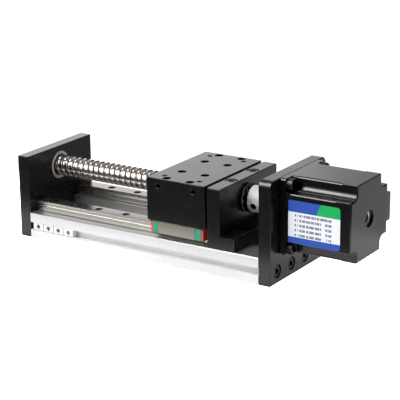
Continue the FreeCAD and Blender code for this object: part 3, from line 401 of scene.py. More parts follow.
bearing_steel = ringed_metal(colour(206, 204, 200), colour(222, 220, 216), 0.32, 0.08, 0.55)
nut_steel = ringed_metal(colour(176, 174, 170), colour(192, 190, 187), 0.22)
bright_aluminium = ringed_metal(colour(192, 190, 187), colour(206, 204, 201), 0.55, 0.12, 0.25)
shield_steel = ringed_metal(colour(74, 72, 66), colour(98, 95, 88), 0.30)

# %% [markdown]
# Black oxide on screws is a thin conversion layer over steel: dark, faintly blue, and rubbed
# through in specks. Zinc plating and spring steel follow the same plan in other colours.

# %% Plated and blackened steel
def coated_steel(low, high, roughness, metallic=1.0):
    """A finish for a coated metal: two tones in small patches, uneven gloss."""

    def describe(finish):
        patches = speckle(finish, 0.5 * mm, detail=4.0, roughness=0.65)
        worn = ease(finish, patches, 0.48, 0.72)
        return {
            "Base Color": blend(finish, worn, low, high),
            "Metallic": metallic,
            "Roughness": roughness + 0.14 * patches,
            "Normal": relief(finish, patches, 0.008 * mm, 0.3),
        }

    return describe


screw_steel = coated_steel(colour(52, 52, 55), colour(96, 95, 95), 0.26)
oxide_steel = coated_steel(colour(44, 44, 47), colour(84, 83, 83), 0.28)
bright_screw_steel = coated_steel(colour(214, 213, 209), colour(232, 231, 228), 0.30, 0.7)
spring_steel = coated_steel(colour(96, 98, 106), colour(126, 128, 134), 0.24)

# %% [markdown]
# The motor's front and stator carry gloss enamel. Sprayed enamel is never flat: it has a faint
# orange peel, a wave a millimetre or two long that makes reflections swim.

# %% Motor paints
def motor_black(finish):
    peel = speckle(finish, 1.6 * mm, detail=1.0)
    return {
        "Base Color": blend(finish, speckle(finish, 6 * mm), colour(8, 8, 8), colour(14, 13, 13)),
        "Roughness": 0.20 + 0.06 * peel,
        "Normal": relief(finish, peel, 0.03 * mm, 0.25),
    }


# %% [markdown]
# The rear cap is a casting with a satin grey-black paint, in which the sand's grain still shows.

# %% Motor rear cap
def motor_grey(finish):
    grain = speckle(finish, 0.35 * mm, detail=4.0, roughness=0.6)
    cloud = speckle(finish, 8 * mm, detail=3.0)
    return {
        "Base Color": blend(finish, cloud, colour(9, 9, 9), colour(15, 14, 14)),
        "Roughness": 0.21 + 0.07 * grain,
        "Specular IOR Level": 0.48,
        "Normal": relief(finish, grain, 0.012 * mm, 0.2),
    }


# %% [markdown]
# Moulded and wound pieces come next: plastics with a fine erosion grain, rubber, and lacquered
# copper wire, whose windings are a wave across the coil. The socket's pins are brass.

# %% Plastics and rubber
def moulded(low, high, roughness):
    """A finish for a moulded piece: two close tones, even gloss, fine grain."""

    def describe(finish):
        grain = speckle(finish, 0.2 * mm, detail=3.0)
        cloud = speckle(finish, 5 * mm)
        return {
            "Base Color": blend(finish, cloud, low, high),
            "Roughness": roughness + 0.10 * grain,
            "Normal": relief(finish, grain, 0.015 * mm, 0.3),
        }

    return describe


green_plastic = moulded(colour(26, 128, 97), colour(36, 140, 108), 0.36)
red_seal = moulded(colour(188, 44, 38), colour(206, 58, 50), 0.42)
spider_rubber = moulded(colour(176, 34, 30), colour(196, 44, 38), 0.40)
wiper_plastic = moulded(colour(222, 221, 214), colour(234, 233, 228), 0.40)
connector_plastic = moulded(colour(58, 58, 58), colour(68, 68, 68), 0.38)
pin_brass = coated_steel(colour(206, 178, 110), colour(224, 200, 136), 0.18)


# %% Copper windings
wire_width = 0.6 * mm


def copper_winding(finish):
    x, y, z = axes(finish, place(finish))
    wire = finish.node("ShaderNodeMath", {"operation": "SINE"}, {0: x * (2 * math.pi / wire_width)})
    return {
        "Base Color": blend(finish, 0.5 + 0.5 * wire, colour(120, 60, 30), colour(198, 118, 66)),
        "Metallic": 1.0,
        "Roughness": 0.3 + 0.1 * speckle(finish, 0.4 * mm),
        "Normal": relief(finish, wire, 0.1 * mm, 0.5),
    }


# %% [markdown]
# The motor's label is a printed film with a plain layout: a blue band with a green end above, white
# with ruled bars in the middle, and a thin blue band below. All of it is worked out from z and x,
# and noise cuts the bars into upright strokes.

# %% Label film
label_low, label_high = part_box("motor_label")
band_top = label_high.z - 8.3 * mm
band_bottom = label_low.z + 4.7 * mm
green_start_top = label_low.x + 25.5 * mm
green_start_bottom = label_low.x + 22.0 * mm
rule_pitch = 3.6 * mm
rule_height = 1.9 * mm
rule_left = label_low.x + 4.5 * mm
rule_right = label_low.x + 34.0 * mm
column_gap = (label_low.x + 26.0 * mm, label_low.x + 28.5 * mm)
rule_start = 0.36
bar_share = 0.42


def label_film(finish):
    x, y, z = axes(finish, place(finish))
    lean = (green_start_top - green_start_bottom) / (label_high.z - band_top)
    in_green = x > (green_start_bottom + (z - band_top) * lean)
    head = blend(finish, in_green, colour(34, 72, 162), colour(0, 160, 82))
    in_head = z > band_top
    in_foot = z < band_bottom
    paper = colour(214, 218, 225)
    row = finish.node("ShaderNodeMath", {"operation": "FRACT"}, {0: (band_top - z) / rule_pitch})
    in_row = (row > rule_start) * (row < rule_start + rule_height / rule_pitch)
    in_gap = (x > column_gap[0]) * (x < column_gap[1]) * (z < band_top - rule_pitch)
    strokes = speckle(finish, 0.9 * mm, stretch=(1, 1, 50), detail=0.0)
    in_field = (x > rule_left) * (x < rule_right) * (z > band_bottom + 0.6 * mm) * (1 - in_gap)
    printed = in_row * in_field * (strokes > bar_share)
    middle = blend(finish, printed, paper, colour(116, 119, 130))
    below = blend(finish, in_foot, middle, colour(34, 74, 164))
    return {
        "Base Color": blend(finish, in_head, below, head),
        "Roughness": 0.30 + 0.08 * speckle(finish, 2 * mm),
        "Specular IOR Level": 0.3,
        "Normal": relief(finish, speckle(finish, 3 * mm), 0.02 * mm, 0.2),
    }


# %% [markdown]
# The record names one material slot for each node. Each slot has a function above with the same
# name, so the frame is dressed by one short loop. A few nodes look different from the rest of their
# slot and have a variant: the carriages are less finely ground than the rails and are painted
# paler, as painted light against the shade under the table; the motor's shaft gets dark oxide steel
# as painted shade where it sits in the shadow of its rear cap; and so on.

# %% Dress the frame's nodes
recipes = dict(
    anodised_silver=anodised_silver, anodised_black=anodised_black, rail_steel=rail_steel,
    screw_shaft_steel=screw_shaft_steel, bearing_steel=bearing_steel, nut_steel=nut_steel,
    screw_steel=screw_steel, bright_screw_steel=bright_screw_steel, oxide_steel=oxide_steel,
    spring_steel=spring_steel, bright_aluminium=bright_aluminium, spider_rubber=spider_rubber,
    motor_black=motor_black, motor_grey=motor_grey, copper_winding=copper_winding,
    connector_plastic=connector_plastic, pin_brass=pin_brass, label_film=label_film,
    green_plastic=green_plastic, red_seal=red_seal, wiper_plastic=wiper_plastic,
)
finishes = {name: make_finish(name, recipe) for name, recipe in recipes.items()}
slot_of = {row["node"]: row["material_slot"] for row in frame["record"]["subparts"]}
variants = {
    "carriage_block_front": make_finish("carriage_steel", carriage_steel),
    "idle_bearing_shields": make_finish("shield_steel", shield_steel),
    "motor_mount_screws": finishes["screw_steel"],
    # The motor's shaft end is seen in the shadow of its rear cap, and its dark oxide finish is
    # painted shade.
    "motor_shaft": finishes["oxide_steel"],
}
variants["carriage_block_back"] = variants["carriage_block_front"]


def finish_of(node):
    """The material of a node: its slot's, or its own variant."""
    return variants.get(node, finishes[slot_of[node]])


def body_of(node):
    """The body that a node rides on, from the name of its parent."""
    return frame["nodes"][node].parent.name.split(":")[1]


for node, thing in frame["nodes"].items():
    thing.data.materials.clear()
    thing.data.materials.append(finish_of(node))
print("dressed", len(frame["nodes"]), "nodes with", len(finishes), "finishes")

# %% [markdown]
# ## Surfaces from formulas
#
# New pieces are grids of points. A grid has rows and columns, and either may wrap round to its
# start, as round a shaft. `new_piece` stacks grids into one mesh, closes the seams and poles by
# merging points that coincide, and turns all faces outwards.

# %% Grids and pieces
merge_distance = 1e-7
crease_angle = math.radians(32)


def grid_faces(rows, columns, wrap_rows, wrap_columns):
    """Faces of a grid: corners (i, j), (i+1, j), (i+1, j+1), (i, j+1), wrapped or not."""
    i, j = np.meshgrid(np.arange(rows if wrap_rows else rows - 1),
                       np.arange(columns if wrap_columns else columns - 1), indexing="ij")
    next_i = (i + 1) % rows
    next_j = (j + 1) % columns
    corners = [i * columns + j, next_i * columns + j,
               next_i * columns + next_j, i * columns + next_j]
    return np.stack(corners, axis=-1).reshape(-1, 4)


def new_piece(name, node, grids):
    """A piece in the place of a node, with its finish, from grids: each is (points of shape
    rows x columns x 3, wrap rows, wrap columns). Flat ends that a grid leaves open may follow as
    lists of point numbers of that grid."""
    points = []
    faces = []
    start = 0
    for grid in grids:
        surface, wrap_rows, wrap_columns = grid[:3]
        rows, columns = surface.shape[:2]
        points.append(surface.reshape(-1, 3))
        faces += (grid_faces(rows, columns, wrap_rows, wrap_columns) + start).tolist()
        for lid in grid[3:]:
            faces.append([start + int(number) for number in lid])
        start += rows * columns
    mesh = bpy.data.meshes.new(name)
    mesh.from_pydata(np.concatenate(points).tolist(), [], faces)
    tidy_mesh(mesh)
    mesh.materials.append(finish_of(node))
    thing = linked(name, mesh)
    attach(thing, body_of(node))
    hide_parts(node)
    print(name, len(mesh.polygons), "faces")


# %% Tidy a mesh
import bmesh


def tidy_mesh(mesh):
    """Merges coinciding points, drops what collapsed, and turns the faces outwards."""
    work = bmesh.new()
    work.from_mesh(mesh)
    bmesh.ops.remove_doubles(work, verts=work.verts, dist=merge_distance)
    bmesh.ops.dissolve_degenerate(work, dist=merge_distance, edges=work.edges)
    bmesh.ops.recalc_face_normals(work, faces=work.faces)
    work.to_mesh(mesh)
    work.free()
    mesh.shade_smooth()
    mesh.set_sharp_from_angle(angle=crease_angle)


# %% [markdown]
# Three ways of making a grid serve for nearly everything. `spun` turns a profile about the X axis,
# as a lathe does. `rounded` softens the corners of a flat outline with arcs. `turned_to` swings a
# shape made along X towards any direction and sets it down at a point.

# %% Spin, round, turn
def spun(profile, around):
    """A lathe: a point (x, r) of the profile goes to (x, r cos t, r sin t) for t once round."""
    profile = np.array(profile, float)
    angle = np.linspace(0, 2 * math.pi, around, endpoint=False)[:, None]
    x = np.broadcast_to(profile[:, 0], (around, len(profile)))
    radius = profile[:, 1]
    return np.stack([x, radius * np.cos(angle), radius * np.sin(angle)], axis=-1)


def rounded(corners, radii, steps):
    """A closed outline with arcs at its corners. An arc of radius r touches both sides at
    r / tan(half the corner's angle) from the corner, with its centre on the bisector."""
    corners = np.array(corners, float)
    radii = np.broadcast_to(np.array(radii, float), len(corners))
    outline = []
    neighbours = zip(np.roll(corners, 1, 0), corners, np.roll(corners, -1, 0), radii)
    for before, corner, after, radius in neighbours:
        first = (before - corner) / np.linalg.norm(before - corner)
        second = (after - corner) / np.linalg.norm(after - corner)
        half = math.acos(np.clip(first @ second, -1, 1)) / 2
        bisector = (first + second) / np.linalg.norm(first + second)
        centre = corner + bisector * radius / math.sin(half)
        start = corner + first * radius / math.tan(half) - centre
        end = corner + second * radius / math.tan(half) - centre
        share = np.linspace(0, 1, steps)[:, None]
        swing = math.pi - 2 * half
        arc = (np.sin((1 - share) * swing) * start + np.sin(share * swing) * end) / math.sin(swing)
        outline.append(centre + arc)
    return np.concatenate(outline)


def turned_to(points, seat, direction):
    """Swings +X to a direction and moves the origin to the seat."""
    forward = np.array(direction, float)
    forward /= np.linalg.norm(forward)
    side = np.cross((0, 0, 1) if abs(forward[2]) < 0.9 else (0, 1, 0), forward)
    side /= np.linalg.norm(side)
    over = np.cross(forward, side)
    return points @ np.stack([forward, side, over]) + np.array(seat, float)


def about_screw(points):
    """Moves points made about the X axis to the screw's axis."""
    return points + np.array([0, screw_axis[1], screw_axis[2]])


# %% [markdown]
# ## The ball screw
#
# The track for the balls winds round the shaft with a lead of 5 mm. Its section is a gothic arch:
# two arcs whose centres are a little apart, so that each ball touches at two points. The surface is
# drawn along the helix itself. One parameter is the turn angle over the whole thread, the other is
# the place across one lead, with points exactly where groove and crest meet. That keeps every edge
# crisp, which a plain grid round the shaft would not.

# %% Ball screw sizes
screw_radius = 8.0 * mm
screw_lead = 5.0 * mm
ball_centre_radius = 8.25 * mm
arch_radius = 1.73 * mm
arch_offset = 0.08 * mm
thread_chamfer = 0.5 * mm
crest_strip = 0.10 * mm
points_per_turn = 56

screw_start, screw_end = span("ball_screw", 0)
idle_face = span("idle_end_plate", 0)[1]
thread_start = idle_face + 0.8 * mm
thread_end = span("bearing_block", 0)[0] - 0.5 * mm


# %% Ball screw surface
def track_radius(across):
    """The shaft's radius at a distance across the track: the arch near 0, then the crest."""
    reach = np.minimum(np.abs(across) + arch_offset, arch_radius)
    arch = ball_centre_radius - np.sqrt(arch_radius ** 2 - reach ** 2)
    return np.minimum(screw_radius, arch)


def thread_radius(x, across):
    """The track's radius, held under a chamfer cone at both ends of the thread."""
    near_end = np.minimum(x - thread_start, thread_end - x) + screw_radius - thread_chamfer
    return np.minimum(track_radius(across), near_end)


groove_edge = math.sqrt(arch_radius ** 2 - (ball_centre_radius - screw_radius) ** 2) - arch_offset
across_groove = groove_edge * np.sin(np.linspace(-math.pi / 2, math.pi / 2, 11))
across_crest = np.array([groove_edge + crest_strip, screw_lead - groove_edge - crest_strip])
across_lead = np.concatenate([across_groove, across_crest, [screw_lead - groove_edge]])


def helix_surface():
    """Point (t, s): x = lead t / 2 pi + s, radius of the track at s. Where x would leave the
    thread it is held at the thread's end, so the surplus collapses to the end's own edge."""
    turns = (thread_end - thread_start) / screw_lead + 2
    angle = np.arange(int(turns * points_per_turn) + 1) * (2 * math.pi / points_per_turn)
    start = thread_start - screw_lead + screw_lead * angle / (2 * math.pi)
    across = np.clip(start[:, None] + across_lead, thread_start, thread_end) - start[:, None]
    x = start[:, None] + across
    radius = thread_radius(x, np.where(across > screw_lead / 2, across - screw_lead, across))
    turned = angle[:, None]
    return np.stack([x, radius * np.cos(turned), radius * np.sin(turned)], axis=-1)


def shaft_end(x, profile):
    """A lathe surface whose first ring follows the thread's edge at x and then the profile."""
    angle = np.arange(points_per_turn) * (2 * math.pi / points_per_turn)
    phase = (x - thread_start) / screw_lead - angle / (2 * math.pi)
    across = (phase - np.round(phase)) * screw_lead
    edge = thread_radius(np.full(points_per_turn, x), across)
    rest = spun(profile, points_per_turn)
    first = [np.full(points_per_turn, x), edge * np.cos(angle), edge * np.sin(angle)]
    return np.concatenate([np.stack(first, axis=-1)[:, None], rest], axis=1)


# %% [markdown]
# The shaft's ends are plain lathe work: the idle journal with the groove for its clip, and at the
# drive end the collar, the journal for the bearings and the lock nut, and the drive stub.

# %% Ball screw piece
idle_journal = 4.0 * mm
idle_collar = 5.5 * mm
fixed_collar = 7.2 * mm
fixed_journal = 6.0 * mm
drive_stub = 4.0 * mm
end_bevel = 0.5 * mm
clip_start, clip_end = span("screw_end_clip", 0)
fixed_seat = span("fixed_bearing_inner_rings", 0)[0]
lock_nut_end = span("lock_nut", 0)[1]
clip_groove = 0.5 * mm

idle_profile = [
    (thread_start, idle_collar), (idle_face, idle_collar), (idle_face, idle_journal),
    (clip_end, idle_journal), (clip_end, idle_journal - clip_groove),
    (clip_start, idle_journal - clip_groove), (clip_start, idle_journal),
    (screw_start + end_bevel, idle_journal), (screw_start, idle_journal - end_bevel),
    (screw_start, 0),
]
drive_profile = [
    (thread_end, fixed_collar), (fixed_seat, fixed_collar), (fixed_seat, fixed_journal),
    (lock_nut_end, fixed_journal), (lock_nut_end, drive_stub), (screw_end - end_bevel, drive_stub),
    (screw_end, drive_stub - end_bevel), (screw_end, 0),
]
new_piece("ball_screw_shaft", "ball_screw",
          [(about_screw(helix_surface()), False, False),
           (about_screw(shaft_end(thread_start, idle_profile)), True, False),
           (about_screw(shaft_end(thread_end, drive_profile)), True, False)])

# %% [markdown]
# ## Edges
#
# No machined edge is perfectly sharp: each has a small break, and that break is what catches the
# light. A CAD node is left as it is, so the piece shown is a copy of its mesh. The copy is merged,
# because a CAD mesh is loose triangles, its flat faces are joined again, and a Bevel modifier
# rounds the edges that stick out. The hollow corners stay sharp, as a milling cutter leaves them.

# %% Softened copies
flat_angle = math.radians(1.0)
edge_angle = math.radians(35)


def softened(node, width, segments=2, keep=None):
    """A copy of a node with its outward edges rounded, or those of them that keep picks."""
    mesh = frame["nodes"][node].data.copy()
    work = bmesh.new()
    work.from_mesh(mesh)
    bmesh.ops.remove_doubles(work, verts=work.verts, dist=merge_distance)
    bmesh.ops.dissolve_limit(work, angle_limit=flat_angle, verts=work.verts, edges=work.edges,
                             use_dissolve_boundaries=False)
    weights = work.edges.layers.float.new("bevel_weight_edge")
    edges = [edge for edge in work.edges if len(edge.link_faces) == 2]
    turns = np.array([edge.calc_face_angle_signed(0.0) for edge in edges])
    chosen = turns > edge_angle
    if keep:
        corners = np.array([[tuple(corner.co) for corner in edge.verts] for edge in edges])
        chosen &= keep(corners[:, 0], corners[:, 1])
    for number in np.flatnonzero(chosen):
        edges[number][weights] = 1.0
    work.to_mesh(mesh)
    work.free()
    # The normals that came with the CAD mesh no longer fit its faces.
    if "custom_normal" in mesh.attributes:
        mesh.attributes.remove(mesh.attributes["custom_normal"])
    mesh.shade_smooth()
    mesh.set_sharp_from_angle(angle=crease_angle)
    thing = linked(node + "_softened", mesh)
    bevel = thing.modifiers.new("edge_break", "BEVEL")
    bevel.limit_method = "WEIGHT"
    bevel.width = width
    bevel.segments = segments
    bevel.harden_normals = True
    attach(thing, body_of(node))
    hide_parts(node)
    print(node, "softened:", int(chosen.sum()), "edges of", len(edges))


soft_edges = {
    "idle_end_plate": 0.4, "motor_plate": 0.6, "bearing_block": 0.3, "slide_table": 0.3,
    "base_profile": 0.2, "rail_front": 0.2, "rail_back": 0.2,
    "carriage_block_front": 0.3, "carriage_block_back": 0.3,
    "carriage_caps_front": 0.3, "carriage_caps_back": 0.3,
    "carriage_seals_front": 0.2, "carriage_seals_back": 0.2,
    "coupling_hub_screw_side": 0.15, "coupling_hub_motor_side": 0.15, "lock_nut": 0.15,
    "ball_nut": 0.2, "slot_nuts": 0.15, "motor_connector": 0.3,
}
for node, width in soft_edges.items():
    softened(node, width * mm)

# %% [markdown]
# The motor is enamelled after it is screwed together, so only its long edges, the rim of its rear
# face and the outline of the flange against its plate are rounded. That last one leaves the dark
# line between plate and motor. The joints between flange, stator and cap stay fine closed lines.

# %% The motor's edges
motor_low, motor_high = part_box("motor_stator")
motor_half = (motor_high.z - motor_low.z) / 2
motor_end = span("motor_rear_cap", 0)[1]
motor_face = span("motor_plate", 0)[1]


def motor_edges(rim, reach):
    """Picks edges along X on the motor's skin, and at x = rim those on it or beyond reach."""

    def keep(starts, ends):
        middle = (starts + ends)[:, 1:] / 2 - screw_axis[1:]
        on_skin = np.abs(middle).max(axis=1) > motor_half - 0.05 * mm
        run = np.abs(ends - starts)
        along = run[:, 0] > 0.9 * np.linalg.norm(run, axis=1)
        at_rim = np.maximum(np.abs(starts[:, 0] - rim), np.abs(ends[:, 0] - rim)) < 0.01 * mm
        return (along & on_skin) | (at_rim & (on_skin | (np.linalg.norm(middle, axis=1) > reach)))

    return keep


rear_rim = motor_edges(motor_end, motor_half - 10 * mm)
front_rim = motor_edges(motor_face, motor_half * 1.3)
for node, width, keep in (("motor_front_flange", 1.5, front_rim),
                          ("motor_stator", 1.7, rear_rim), ("motor_rear_cap", 1.7, rear_rim)):
    softened(node, width * mm, 4, keep)

# %% [markdown]
# ## Label
#
# The label is a film a fifth of a millimetre thick with rounded corners.

# %% Label piece
label_outline = rounded([(label_low.x, label_low.z), (label_high.x, label_low.z),
                         (label_high.x, label_high.z), (label_low.x, label_high.z)],
                        np.array([1.0, 2.2, 2.2, 1.0]) * mm, 8)
label_sides = [np.insert(label_outline, 1, y, axis=1) for y in (label_low.y, label_high.y)]
label_count = len(label_outline)
label_faces = range(label_count), range(label_count, 2 * label_count)
new_piece("motor_label_film", "motor_label", [(np.stack(label_sides), False, True, *label_faces)])

# %% [markdown]
# A node may hold several solids, such as a row of screws. They are read back from the frame: the
# node's mesh falls apart into islands of touching triangles.

# %% Islands of a node
def islands(node):
    """The box (low, high) of each separate solid in a node. Points that coincide get one number,
    and every triangle lowers the numbers of its corners to their smallest until nothing changes."""
    mesh = frame["nodes"][node].data
    places = np.empty(len(mesh.vertices) * 3, np.float32)
    mesh.vertices.foreach_get("co", places)
    corners = np.empty(len(mesh.loops), np.int32)
    mesh.loops.foreach_get("vertex_index", corners)
    unique, same = np.unique(np.round(places.reshape(-1, 3), 6), axis=0, return_inverse=True)
    triangles = same.reshape(-1)[corners].reshape(-1, 3)
    label = np.arange(len(unique))
    while True:
        lowest = label[triangles].min(axis=1)
        lowered = label.copy()
        np.minimum.at(lowered, triangles, lowest[:, None])
        lowered = lowered[lowered]
        if np.array_equal(lowered, label):
            break
        label = lowered
    groups = [unique[label == number] for number in np.unique(label)]
    return [(group.min(axis=0), group.max(axis=0)) for group in groups]


# %% [markdown]
# ## Bearings
#
# A deep groove bearing is two rings with a round groove each, and balls between them. The corners
# of the rings are ground round, which is what makes their bright rims. A ring is one closed profile
# spun about the axis: rounded corners, and the groove as an arc about the ball's centre.

# %% Bearing rings
bearing_sizes = {"idle_bearing": (4.0, 11.0), "fixed_bearing": (6.0, 10.5),
                 "motor_bearing": (4.0, 11.0)}
land_share = 0.17
ball_share = 0.27
ring_clearance = 0.02 * mm
ring_corner = 0.6 * mm
face_line = (0.28, 0.52)
face_line_depth = 0.45 * mm
groove_points = 13
ring_columns = 96
shield_columns = 72


def ring_profile(start, end, near, land, circle, ball):
    """A ring between the radii near and land. The ball track is an arc of the ball's radius about
    (middle, circle), and it meets the land where their distance is that radius. An outer ring has
    a shallow turned line in both faces, from shares of its height."""
    middle = (start + end) / 2
    reach = math.acos(abs(land - circle) / ball)
    turn = np.linspace(reach, -reach, groove_points)
    side = 1 if land > circle else -1
    groove = np.stack([middle + ball * np.sin(turn), circle + side * ball * np.cos(turn)], axis=1)
    line_low, line_high = (land + (near - land) * share for share in face_line)
    depth = face_line_depth if near > land else 0.0
    steps = [(0, line_low), (depth, line_low), (depth, line_high), (0, line_high)] if depth else []
    corners = [(start, land)] + [(start + x, r) for x, r in steps] + [(start, near)]
    corners += [(end, near)] + [(end - x, r) for x, r in steps[::-1]] + [(end, land)]
    radii = [0.25] + [0.1] * len(steps) + [1.0, 1.0] + [0.1] * len(steps) + [0.25]
    body = rounded(corners, np.array(radii) * ring_corner, 5)
    return np.concatenate([body, groove])


def bearing_rings(kind, part, node):
    """The outer or inner rings of a kind of bearing, at the places of the node's solids."""
    bore, outer = (radius * mm for radius in bearing_sizes[kind])
    section = outer - bore
    circle = (outer + bore) / 2
    ball = ball_share * section + ring_clearance
    if part == "outer":
        near, land = outer - ring_clearance, circle + land_share * section
    else:
        near, land = bore + ring_clearance, circle - land_share * section
    grids = []
    for low, high in islands(node):
        profile = ring_profile(float(low[0]), float(high[0]), near, land, circle, ball)
        grids.append((about_screw(spun(profile, ring_columns)), True, True))
    new_piece(node + "_ground", node, grids)


def bearing_shields(node):
    """Thin washers with rounded corners that cover the gap between the rings."""
    bore, outer = (radius * mm for radius in bearing_sizes["idle_bearing"])
    circle = (outer + bore) / 2
    grids = []
    for low, high in islands(node):
        inner = circle - land_share * (outer - bore) + 0.1 * mm
        start, end, top = float(low[0]), float(high[0]), float(high[1])
        profile = rounded([(start, inner), (start, top), (end, top), (end, inner)], 0.15 * mm, 4)
        grids.append((about_screw(spun(profile, shield_columns)), True, True))
    new_piece(node + "_rolled", node, grids)


bearing_shields("idle_bearing_shields")
for kind in bearing_sizes:
    for part in ("outer", "inner"):
        many = "" if kind == "idle_bearing" else "s"
        bearing_rings(kind, part, f"{kind}_{part}_ring{many}")

# %% [markdown]
# ## Screws
#
# Every socket screw here is M3, M4 or M5, and two rows have another head height. A node may hold a
# whole row of them, and each island's box gives one screw's place, length and head.
#
# A socket screw is one skin: up out of the hexagonal socket, over the rim, down the knurled side
# of the head, under it, along the shank and round its rolled thread to the tip. So it is one grid
# with a row for each station and a column for each angle. The hexagon's radius is the flat's
# distance divided by the cosine of the angle from the middle of the flat.

# %% Socket screw
screw_kinds = {
    "M3": {"shank": 1.5, "head": 2.75, "tall": 3.0, "socket": 2.5, "pitch": 0.5, "around": 48},
    "M3 low": {"shank": 1.5, "head": 2.75, "tall": 1.8, "socket": 2.0, "pitch": 0.5, "around": 48},
    "M4": {"shank": 2.0, "head": 3.5, "tall": 4.0, "socket": 3.0, "pitch": 0.7, "around": 60},
    "M5 tall": {"shank": 2.5, "head": 4.25, "tall": 6.2, "socket": 4.0, "pitch": 0.8, "around": 72},
    "M5": {"shank": 2.5, "head": 4.25, "tall": 5.0, "socket": 4.0, "pitch": 0.8, "around": 72},
}
threaded_most = 16 * mm
knurl_depth = 0.09 * mm
thread_rows = 4


def hexagon(across, angle):
    """Radius of a hexagon with that width across flats, at an angle."""
    return across / 2 / np.cos((angle + math.pi / 6) % (math.pi / 3) - math.pi / 6)


def socket_screw(kind, length):
    """The skin of a screw along X: seat of the head at 0, head towards +X, tip at -length."""
    size = {name: value * mm for name, value in kind.items() if name != "around"}
    angle = np.linspace(0, 2 * math.pi, kind["around"], endpoint=False)
    ones = np.ones_like(angle)
    head, tall, shank = size["head"], size["tall"], size["shank"]
    floor_of_socket = tall / 2
    mouth = size["socket"] / math.sqrt(3) * 1.06
    ridged = head - knurl_depth * (np.arange(kind["around"]) % 2)
    bend = 0.07 * head
    rows = [
        (floor_of_socket - 0.18 * size["socket"], 0 * ones),
        (floor_of_socket, hexagon(0.92 * size["socket"], angle)),
        (floor_of_socket + 0.02 * tall, hexagon(size["socket"], angle)),
        (tall - 0.05 * tall, hexagon(size["socket"], angle)),
        (tall, mouth * ones),
        (tall, (head - 2.2 * bend) * ones),
        (tall - 0.5 * bend, (head - 0.9 * bend) * ones),
        (tall - 1.6 * bend, ridged),
        (0.14 * tall, ridged),
        (0.08 * tall, (head - knurl_depth) * ones),
        (0.0, (head - 2 * knurl_depth) * ones),
        (0.0, shank * ones),
    ]
    threaded = min(threaded_most, length - size["pitch"])
    steps = int(threaded / size["pitch"] * thread_rows)
    depth = 0.54 * size["pitch"]
    for x in np.linspace(-length + threaded, -length + size["pitch"] / 2, steps):
        turn = (x / size["pitch"] - angle / (2 * math.pi)) % 1.0
        rows.append((x, shank - depth * np.minimum(1.0, 1.35 * np.abs(2 * turn - 1))))
    rows.append((-length, (shank - depth) * ones))
    rows.append((-length, 0 * ones))
    x = np.array([row[0] for row in rows])[:, None] * ones
    radius = np.stack([row[1] for row in rows])
    return np.stack([x, radius * np.cos(angle), radius * np.sin(angle)], axis=-1)


def kind_of(head_radius):
    """The standard screw size whose head is nearest to a radius."""
    full = [kind for name, kind in screw_kinds.items() if " " not in name]
    return min(full, key=lambda kind: abs(kind["head"] * mm - head_radius))


# %% [markdown]
# The heads look up on the rails, the table and the block, and along X on the end plates, the nut
# and the motor. The table's screws have low heads, so that they lie well below its top and a
# workpiece can be bolted flat on it. The two in the block's wall have tall heads that come up
# almost flush with it.

# %% Rows of screws
screw_rows = {
    "rail_screws": (0, 0, 1), "bearing_block_wall_screws": (0, 0, 1),
    "bearing_block_foot_screws": (0, 0, 1), "carriage_screws": (0, 0, 1),
    "idle_plate_screws": (-1, 0, 0), "motor_plate_screws": (1, 0, 0),
    "motor_mount_screws": (1, 0, 0), "motor_through_screws": (-1, 0, 0),
    "ball_nut_screws": (-1, 0, 0),
}
other_heads = {"carriage_screws": "M3 low", "bearing_block_wall_screws": "M5 tall"}


def screw_row(node, direction):
    """One socket screw for each island of a node, head towards the direction."""
    along = int(np.argmax(np.abs(direction)))
    across = (along + 1) % 3
    grids = []
    for low, high in islands(node):
        kind = kind_of((high[across] - low[across]) / 2)
        seat = (low + high) / 2
        top = high[along] if direction[along] > 0 else low[along]
        seat[along] = top - direction[along] * kind["tall"] * mm
        length = high[along] - low[along] - kind["tall"] * mm
        if node in other_heads:
            kind = screw_kinds[other_heads[node]]
        grids.append((turned_to(socket_screw(kind, length), seat, direction), False, True))
    new_piece(node + "_detailed", node, grids)


for node, direction in screw_rows.items():
    screw_row(node, direction)

# %% [markdown]
# ## Studio
#
# The floor is pale and plain, and glows as a light table does, so that it stays white under the
# module too. Mirror rays don't see it. They see sheets on it instead, which the camera doesn't: a
# bright one under the module and close in front, for the base's side, a greyer one behind on the
# right, for the motor's rear, and a dim one behind. Beyond them the bench is dark, and so the black
# faces stay deep.

# %% Floor
front_sheet = ((-0.45, -0.095), (0.60, 0.100))
right_sheet = ((0.085, 0.100), (0.60, 0.60))
back_sheet = ((-0.35, 0.100), (0.085, 0.40))
floor_drop = 0.4 * mm
sheet_drop = 0.2 * mm
floor_reach = 8.0


def glowing(base, glow):
    """A matt surface that also shines by itself."""
    return lambda finish: {"Base Color": colour(*base), "Roughness": 0.9, "Specular IOR Level": 0.0,
                           "Emission Color": (1, 1, 1, 1), "Emission Strength": glow}


def stage_sheet(name, low, high, drop, base, glow):
    """A flat rectangle between two corners, that much below the base's underside."""
    corners = [(low[0], low[1], -drop), (high[0], low[1], -drop),
               (high[0], high[1], -drop), (low[0], high[1], -drop)]
    mesh = bpy.data.meshes.new(name)
    mesh.from_pydata(corners, [], [(0, 1, 2, 3)])
    mesh.materials.append(make_finish(name + "_finish", glowing(base, glow)))
    thing = linked(name, mesh)
    return thing


floor = stage_sheet("floor", (-floor_reach, -floor_reach), (floor_reach, floor_reach), floor_drop,
                    (246, 246, 246), 0.95)
floor.visible_glossy = False
for name, (low, high), base, glow in (("front_sheet", front_sheet, (246, 246, 246), 0.60),
                                      ("right_sheet", right_sheet, (128, 128, 128), 0.55),
                                      ("back_sheet", back_sheet, (60, 60, 60), 0.22)):
    stage_sheet(name, low, high, sheet_drop, base, glow).visible_camera = False

# %% [markdown]
# The room is dark, with a bright wall low behind the module that grows brighter to the left, and a
# dim grey wall above it. The tops of the black pieces mirror the bright wall, and the round screw
# mirrors all of them.

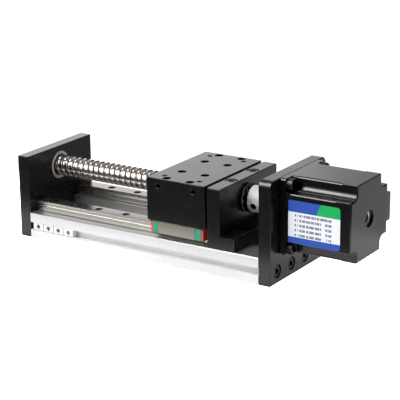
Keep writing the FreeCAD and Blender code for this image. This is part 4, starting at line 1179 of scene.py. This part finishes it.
# %% Room
world = bpy.data.worlds.new("room")
bpy.context.scene.world = world
world.use_nodes = True
finish = Finish(world.node_tree)
x, y, z = axes(finish, finish.node("ShaderNodeTexCoord", output="Generated"))
level = (x * x + y * y) ** 0.5
behind = ease(finish, y / level, 0.10, 0.60)
left = 0 - x / level
glow = (ease(finish, left, -0.10, 0.30, 0.0, 0.6) + ease(finish, left, 0.45, 0.50)
        + ease(finish, left, 0.49, 0.70, 0.0, 0.4))
low = ease(finish, z, 0.32, 0.50, 1.0, 0.0) * ease(finish, z, -0.30, -0.02)
high = ease(finish, z, 0.40, 0.55) * ease(finish, z, 0.80, 0.98, 1.0, 0.0)
light = 0.075 + behind * (low * glow + high * 0.35)
shader = finish.node("ShaderNodeBackground", {}, {"Color": (1, 1, 1, 1), "Strength": light})
finish.node("ShaderNodeOutputWorld", {}, {"Surface": shader})

# %% [markdown]
# Three lamps: a softbox in front on the left, a small lamp overhead, and a strip close to the
# motor. The strip stands where rounded edges along X throw it to the camera. An edge's normal
# turns in the Y-Z plane, so the strip's long side lies in that plane, across the mirrored rays.

# %% Lights
def soft_light(name, target, direction, distance, size, power, upright=(0, 0, 1)):
    """A rectangular lamp in a direction from a target, facing it."""
    back = Vector(direction).normalized()
    side = Vector(upright).cross(back).normalized()
    over = back.cross(side)
    data = bpy.data.lights.new(name, "AREA")
    data.shape = "RECTANGLE"
    data.size, data.size_y = size
    data.energy = power
    lamp = linked(name, data)
    seat = Vector(target) * mm + back * distance
    lamp.matrix_world = Matrix.Translation(seat) @ Matrix((side, over, back)).transposed().to_4x4()


soft_light("front_softbox", (0, 0, 40), (-0.51, -0.68, 0.47), 1.6, (1.15, 1.15), 8.5)
soft_light("overhead_light", (0, 0, 40), (-0.1, 0.25, 1.0), 1.5, (0.5, 0.5), 8)
soft_light("edge_strip", (112, -18, 67), (-0.452, -0.563, 0.691), 0.6, (0.14, 0.40), 2.6,
           (0, 0.775, 0.632))

bpy.context.scene.view_settings.view_transform = "Standard"
